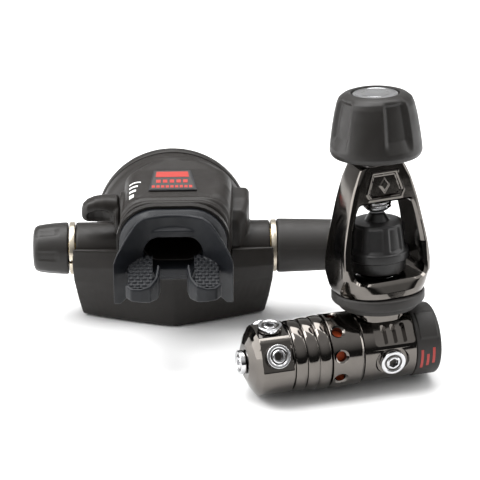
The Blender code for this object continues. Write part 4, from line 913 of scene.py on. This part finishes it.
shaped(lever, "UNION", [paddle_mesh([
    (-43.4, -10.0, 23.6, 1.6, 1.8), (-42.6, -10.2, 24.0, 3.2, 3.8), (-40.5, -10.4, 24.6, 4.6, 5.2),
    (-37, -10.2, 25.2, 5.0, 6.0), (-33, -9.8, 25.4, 5.2, 6.2), (-29, -9.0, 24.4, 5.6, 6.8), (-26, -8.4, 23.0, 6.0, 7.8),
], SECOND)])
shaped(lever, "DIFFERENCE", [paddle_mesh([
    (-41.6, -15.6, 22.4, 0.9, 1.0), (-40, -15.6, 22.6, 2.4, 2.4), (-37, -15.6, 22.8, 3.4, 3.4),
    (-33, -15.6, 22.8, 3.6, 3.5), (-29.5, -15.6, 22.4, 2.2, 2.4), (-28.6, -15.6, 22.2, 0.8, 0.9),
], SECOND)])
moulded(lever, 0.4, 4)
piece("venturi_lever_paddle", lever, nylon, "venturi", "case_plastic", "venturi_lever", sharp=60)

# ---- Label plate ----
# A trapezium of dark plate let into the neck's top, with generic red bars in place of its wording.
PLATE_Z = 37.6


def neck_top(y):
    return np.interp(y, [-28.7, -20, -10, 4, 12], [35.2, 36.4, 37.6, 39.0, 40.6])


def on_neck(outline, low, high, steps=10):
    """A thin plate that follows the neck's top: an outline of (x, y), split across into rows."""
    outline = np.array(outline, float)
    share = np.linspace(0, 1, steps)[:, None]
    left = outline[0] * (1 - share) + outline[3] * share
    right = outline[1] * (1 - share) + outline[2] * share
    rows = []
    for a, b in zip(left, right):
        z = neck_top(a[1])
        rows.append([(a[0], a[1], z + low), (b[0], b[1], z + low), (b[0], b[1], z + high), (a[0], a[1], z + high)])
    return skin(placed(np.array(rows), SECOND))


plate_look = Finish("label_plate_black", (0.02, 0.02, 0.022), roughness=0.3)
plate_look.bump(plate_look.noise(0.0003, 2), 0.000006)
PLATE = [(-11.2, -17.5), (11.6, -17.5), (8.9, 1.5), (-8.9, 1.5)]
plate = solid(on_neck(PLATE, 0.3, 0.75))
piece("label_plate_trim", plate, plate_look, "second_stage", "black_chrome", "label_plate", sharp=30)
panel_look = Finish("label_panel_grey", (0.034, 0.032, 0.031), roughness=0.5)
panel_look.bump(panel_look.noise(0.0003, 2), 0.000008)
panel = solid(on_neck([(-10.3, -16.8), (10.7, -16.8), (8.2, 0.8), (-8.2, 0.8)], 0.6, 0.9))
piece("label_panel", panel, panel_look, "second_stage", "black_chrome", sharp=30)
bars = solid(on_neck([(-7.9, -5.4), (8.0, -5.4), (7.5, -0.2), (-7.4, -0.2)], 0.85, 1.0))
small_marks = [(-9.7 + 2.2 * k, 1.5, -15.6, -13.4) for k in range(9)] + [(-7.6 + 3.2 * k, 2.1, -11.0, -8.0) for k in range(5)]
shaped(bars, "UNION", [
    on_neck([(x, low), (x + wide, low), (x + wide, high), (x, high)], 0.85, 1.0, 3) for x, wide, low, high in small_marks
])
piece("label_bars", bars, red_print, "second_stage", "orange_plastic", sharp=30)

# ---- Exhaust tee and valve ----
# A wide hollow moulding, clipped under the barrel, that leads the bubbles out at both ends.
TEE_LOW = (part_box("exhaust_tee")[0].z - barrel_at[2]) / MM
TEE = [
    # height, half-width, reach towards the diver at the ends and at the middle
    (TEE_LOW, 43.8, 0.2, 15.6), (TEE_LOW + 1.2, 44.6, 1.6, 16.6), (-24, 46.4, 6.5, 17.6), (-12, 48.0, 12.0, 18.0),
    (-4, 48.4, 14.0, 17.4), (5, 48.2, 13.2, 14.6),
]  # fmt: skip


def tee_mesh(levels, inset, spread, back):
    """Plan outlines stacked up the tee: flat behind, and bowed towards the diver in front."""
    u = np.linspace(-1, 1, 33)
    rings = []
    for z, half, end, middle in levels:
        x = u * (half + spread)
        bow = (end + (middle - end) * (1 - np.abs(x / half)) + 1.0 * (1 - (2 * np.abs(x / half) - 1) ** 2)) - inset
        x_all = np.concatenate([x, [half + spread, -half - spread]])
        y_all = np.concatenate([-bow, [back, back]])
        rings.append(np.stack([x_all, y_all, np.full(len(x_all), z)], axis=-1))
    return skin(placed(np.array(rings), SECOND))


tee = solid(tee_mesh(TEE, 0, 0, 9))
hollow = [(max(z, TEE_LOW + 1.8), half, end, middle) for z, half, end, middle in TEE[1:4]]
grown_case = [(4, -1.3), (22, -0.3), (30.3, 3.1), (35.3, 8.7), (37.1, 14.0), (37.1, 20.0)]
grown_neck = [(y, a - 0.3, b + 0.3, c - 0.3, d + 0.3, e + 0.3) for y, a, b, c, d, e in NECK]
grown_shoulder = [(y, a - 0.3, b + 0.3, c - 0.3, d + 0.3, e + 0.3) for y, a, b, c, d, e in SHOULDER]
shaped(tee, "DIFFERENCE", [
    turned([(12.8, -60), (12.8, 60)], ROUND_BARREL, 128),
    turned(grown_case, ROUND_CASE, 160),
    rounded_loft(grown_neck, SECOND),
    rounded_bar(140, 22, 0.5, [(-14.5, 1), (20, 1)], SECOND @ shifted(0, 9, 0)),
    tee_mesh(hollow, 1.8, 10, 7.2),
])
moulded(tee, 0.5, 4)
piece("exhaust_tee_moulding", tee, nylon, "second_stage", "case_plastic", "exhaust_tee", sharp=60)

# ---- Mouthpiece ----
# Soft dark silicone: a collar over the neck, a bowed lip shield and two bite pads with cushions of
# small dimples and an upright flange. A moulded band clamps the collar.
silicone = Finish("dark_silicone", (0.0065, 0.0075, 0.0098), roughness=0.42, reflection=0.28)
silicone.feed("Roughness", silicone.ramp(silicone.noise(0.006), 0.3, 0.7, 0.36, 0.5))
silicone.bump(silicone.noise(0.0005, 2), 0.00001)
mouth_sections = [
    (y, -w / 2, w / 2, 17.6 - h / 2, 17.6 + h / 2, r)
    for y, w, h, r in ((-29.3, 50.6, 35.4, 17), (-36.5, 50.6, 35.4, 17), (-39, 46, 32, 15), (-42.5, 37, 26, 12), (-46, 34, 23, 11))
]
mouthpiece = solid(rounded_loft(mouth_sections, SECOND))
SHIELD_HALF = 27.5


def shield_mesh():
    """Upright slices across the shield, which bows towards the diver at its ends."""
    side = np.abs(np.linspace(-1, 1, 81))[:, None]
    x = SHIELD_HALF * np.linspace(-1, 1, 81)[:, None]
    y = -43 - 17 * side**2.2
    high = np.interp(side, [0, 0.5, 0.62, 0.8, 0.95, 1], [36.2, 36.0, 34.4, 28.4, 22.4, 19.0])
    low = np.interp(side, [0, 0.3, 0.7, 0.78, 0.9, 1], [3.4, 3.2, 1.6, -1.4, -2.8, -1.2])
    rim = np.array([0, 0.02, 0.08, 0.5, 0.92, 0.98, 1, 1, 0.98, 0.5, 0.02, 0])[None, :]
    thick = np.array([0.9, 0.0, 0.5, 0.9, 0.5, 0.0, 0.9, 1.8, 2.5, 2.6, 2.5, 1.8])[None, :]
    z = low + (high - low) * rim
    return skin(placed(np.stack([x + 0 * z, y + 1.6 - thick + 0 * z, z], axis=-1), SECOND))


def pad_middle(y):
    """Height of a bite pad's middle: it drops slightly as it runs towards the diver."""
    return np.interp(y, [-71, -43], [8.6, 15.2])


def pad_mesh(side):
    """A bite pad: a flat bar with rounded edges."""
    y = np.linspace(-43, -71, 40)[:, None]
    wide = np.interp(y, [-71, -68, -50, -43], [9, 12.2, 12.4, 9])
    thick = np.interp(y, [-71, -50, -43], [4.0, 4.6, 7])
    across = np.linspace(-1, 1, 30)[None, :]
    crown = (1 - across**6) ** 0.5
    x = side * 15.0 + across * wide / 2
    top = np.stack([x, y + 0 * x, pad_middle(y) + crown * thick / 2], axis=-1)
    under = np.stack([x, y + 0 * x, pad_middle(y) - crown * thick / 2], axis=-1)
    return skin(placed(np.concatenate([top, under[:, ::-1]], axis=1), SECOND))


def cushion_mesh(side):
    """Staggered rows of low bricks on a pad's upper face."""
    y = np.linspace(-69.6, -46.5, 190)[:, None]
    x = side * 15.2 + np.linspace(-5.6, 5.6, 96)[None, :] + 0 * y
    course = np.floor(y / 2.3)
    along_course = (y / 2.3) % 1
    along_brick = (x / 3.0 + 0.5 * (course % 2)) % 1
    brick = np.clip(4 * np.minimum(along_course, 1 - along_course) - 0.4, 0, 1)
    brick = brick * np.clip(6 * np.minimum(along_brick, 1 - along_brick) - 0.5, 0, 1)
    surface = pad_middle(y) + 2.25 + 0.75 * brick
    top = np.stack([x, y + 0 * x, surface], axis=-1)
    under = np.stack([x, y + 0 * x, pad_middle(y) + 0 * x], axis=-1)
    return skin(placed(np.concatenate([top, under[:, ::-1]], axis=1), SECOND))


FLANGE = np.array([
    # distance from the middle, y, low edge, high edge
    (9.8, -44, 8.5, 21.6), (8.4, -49, 8.0, 22.0), (7.2, -55, 6.0, 20.8), (6.9, -61, 4.4, 18.2), (7.9, -66, 3.8, 15.0),
    (11.0, -70, 4.2, 12.6), (15.0, -71, 4.8, 11.6), (19, -70.4, 5.2, 11.6), (21.4, -67.5, 5.6, 12.4),
])  # fmt: skip


def flange_mesh(side, half_thick=0.8):
    """A thin upright wall along a pad's inner edge and round its end."""
    share = np.linspace(0, 1, 60)
    knots = np.linspace(0, 1, len(FLANGE))
    x, y, low, high = (np.interp(share, knots, FLANGE[:, k]) for k in range(4))
    away = np.stack([-np.gradient(y), np.gradient(x)], axis=1)
    away = away / np.linalg.norm(away, axis=1, keepdims=True)
    offset = half_thick * np.array([-0.4, -1, -1, -0.4, 0.4, 1, 1, 0.4])[None, :]
    level = np.array([0, 0.08, 0.92, 1, 1, 0.92, 0.08, 0])[None, :]
    z = low[:, None] + (high - low)[:, None] * level
    points = np.stack([side * (x[:, None] + away[:, :1] * offset), y[:, None] + away[:, 1:] * offset, z], axis=-1)
    return skin(placed(points, SECOND))


mouth_parts = [shield_mesh()]
for side in (-1, 1):
    mouth_parts += [pad_mesh(side), flange_mesh(side)]
    cushion = solid(cushion_mesh(side))
    piece(f"bite_cushion_{'left' if side < 0 else 'right'}", cushion, silicone, "second_stage", "silicone", sharp=60)
shaped(mouthpiece, "UNION", mouth_parts)
shaped(mouthpiece, "DIFFERENCE", [
    rounded_loft([(-24, -22.7, 22.7, 2.1, 33.1, 14.8), (-36.3, -22.7, 22.7, 2.1, 33.1, 14.8)], SECOND),
    rounded_loft([(-34, -13.7, 13.7, 9.7, 25.7, 7.5), (-60, -13.9, 13.9, 9.5, 25.9, 7.6)], SECOND),
])
moulded(mouthpiece, 0.42, 3)
piece("mouthpiece_silicone", mouthpiece, silicone, "second_stage", "silicone", "mouthpiece", sharp=70)

clamp = solid(rounded_loft([(-34.8, -26.7, 26.7, -1.5, 36.7, 18.4), (-31.2, -26.7, 26.7, -1.5, 36.7, 18.4)], SECOND))
shaped(clamp, "DIFFERENCE", [
    rounded_loft([(-42, -25.6, 25.6, -0.4, 35.6, 17.3), (-24, -25.6, 25.6, -0.4, 35.6, 17.3)], SECOND)
])
piece("mouthpiece_band", clamp, soft_black, "second_stage", "soft_black", "mouthpiece_clamp", sharp=30)

# ---- Printed scale beside the lever ----
# Four white bars, shorter towards the diver, on the neck's left shoulder.
white_print = Finish("white_print", (0.8, 0.8, 0.78), roughness=0.5)
white_print.bump(white_print.noise(0.0004, 2), 0.00001)


def shoulder_bar(middle, wide, x_from, x_to):
    """A thin bar across the neck's left shoulder, which is a round corner of the neck's section."""
    y = np.array([middle - wide / 2, middle + wide / 2, middle + wide / 2, middle - wide / 2])[None, :]
    left, high, corner = (np.interp(y, NECK_TABLE[:, 0], NECK_TABLE[:, k]) for k in (1, 4, 5))
    x = np.linspace(x_from, x_to, 14)[:, None]
    lift = np.array([-0.25, -0.25, 0.12, 0.12])[None, [0, 1, 2, 3]]
    past = np.clip(left + corner - x, 0, corner)
    z = high - corner + np.sqrt(corner**2 - past**2) + lift
    y_all = np.array([middle - wide / 2, middle + wide / 2, middle + wide / 2, middle - wide / 2])[None, :] + 0 * z
    return skin(placed(np.stack([x + 0 * z, y_all, z], axis=-1), SECOND))


scale = solid(shoulder_bar(-8.6, 1.0, -20.4, -14.9))
shaped(scale, "UNION", [
    shoulder_bar(-12.2, 1.3, -20.4, -16.3), shoulder_bar(-16.0, 1.6, -20.4, -17.2), shoulder_bar(-20.2, 2.2, -20.4, -18.2)
])
piece("lever_scale", scale, white_print, "second_stage", "satin_ring", sharp=60)

# ---- Inner parts ----
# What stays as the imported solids: springs, seats, valves and discs inside the casings.
orange = Finish("orange_sleeve", (0.62, 0.09, 0.02), roughness=0.4)
orange.bump(orange.noise(0.0006, 2), 0.00001)
brass = Finish("machined_brass", (0.62, 0.45, 0.2), roughness=0.3, metallic=1.0)
brass.feed("Roughness", brass.ramp(brass.noise(0.001, 3), 0.3, 0.7, 0.22, 0.4))
steel = Finish("drawn_steel", (0.55, 0.55, 0.56), roughness=0.3, metallic=1.0)
steel.feed("Roughness", steel.ramp(steel.noise(0.001, 3), 0.3, 0.7, 0.22, 0.4))
seat_white = Finish("seat_polymer", (0.7, 0.68, 0.6), roughness=0.4)
seat_white.bump(seat_white.noise(0.0006, 2), 0.00001)
INNER = {
    "brass": brass, "spring_steel": steel, "rubber": rubber, "orange_plastic": orange, "seat_plastic": seat_white,
    "bright_chrome": bright_chrome, "silicone": silicone, "soft_black": soft_black, "case_plastic": nylon,
    "black_chrome": black_chrome, "satin_ring": champagne,
}  # fmt: skip
for part in frame["record"]["subparts"]:
    node = frame["nodes"][part["node"]]
    node.data.materials.clear()
    node.data.materials.append(INNER[part["material_slot"]].material)
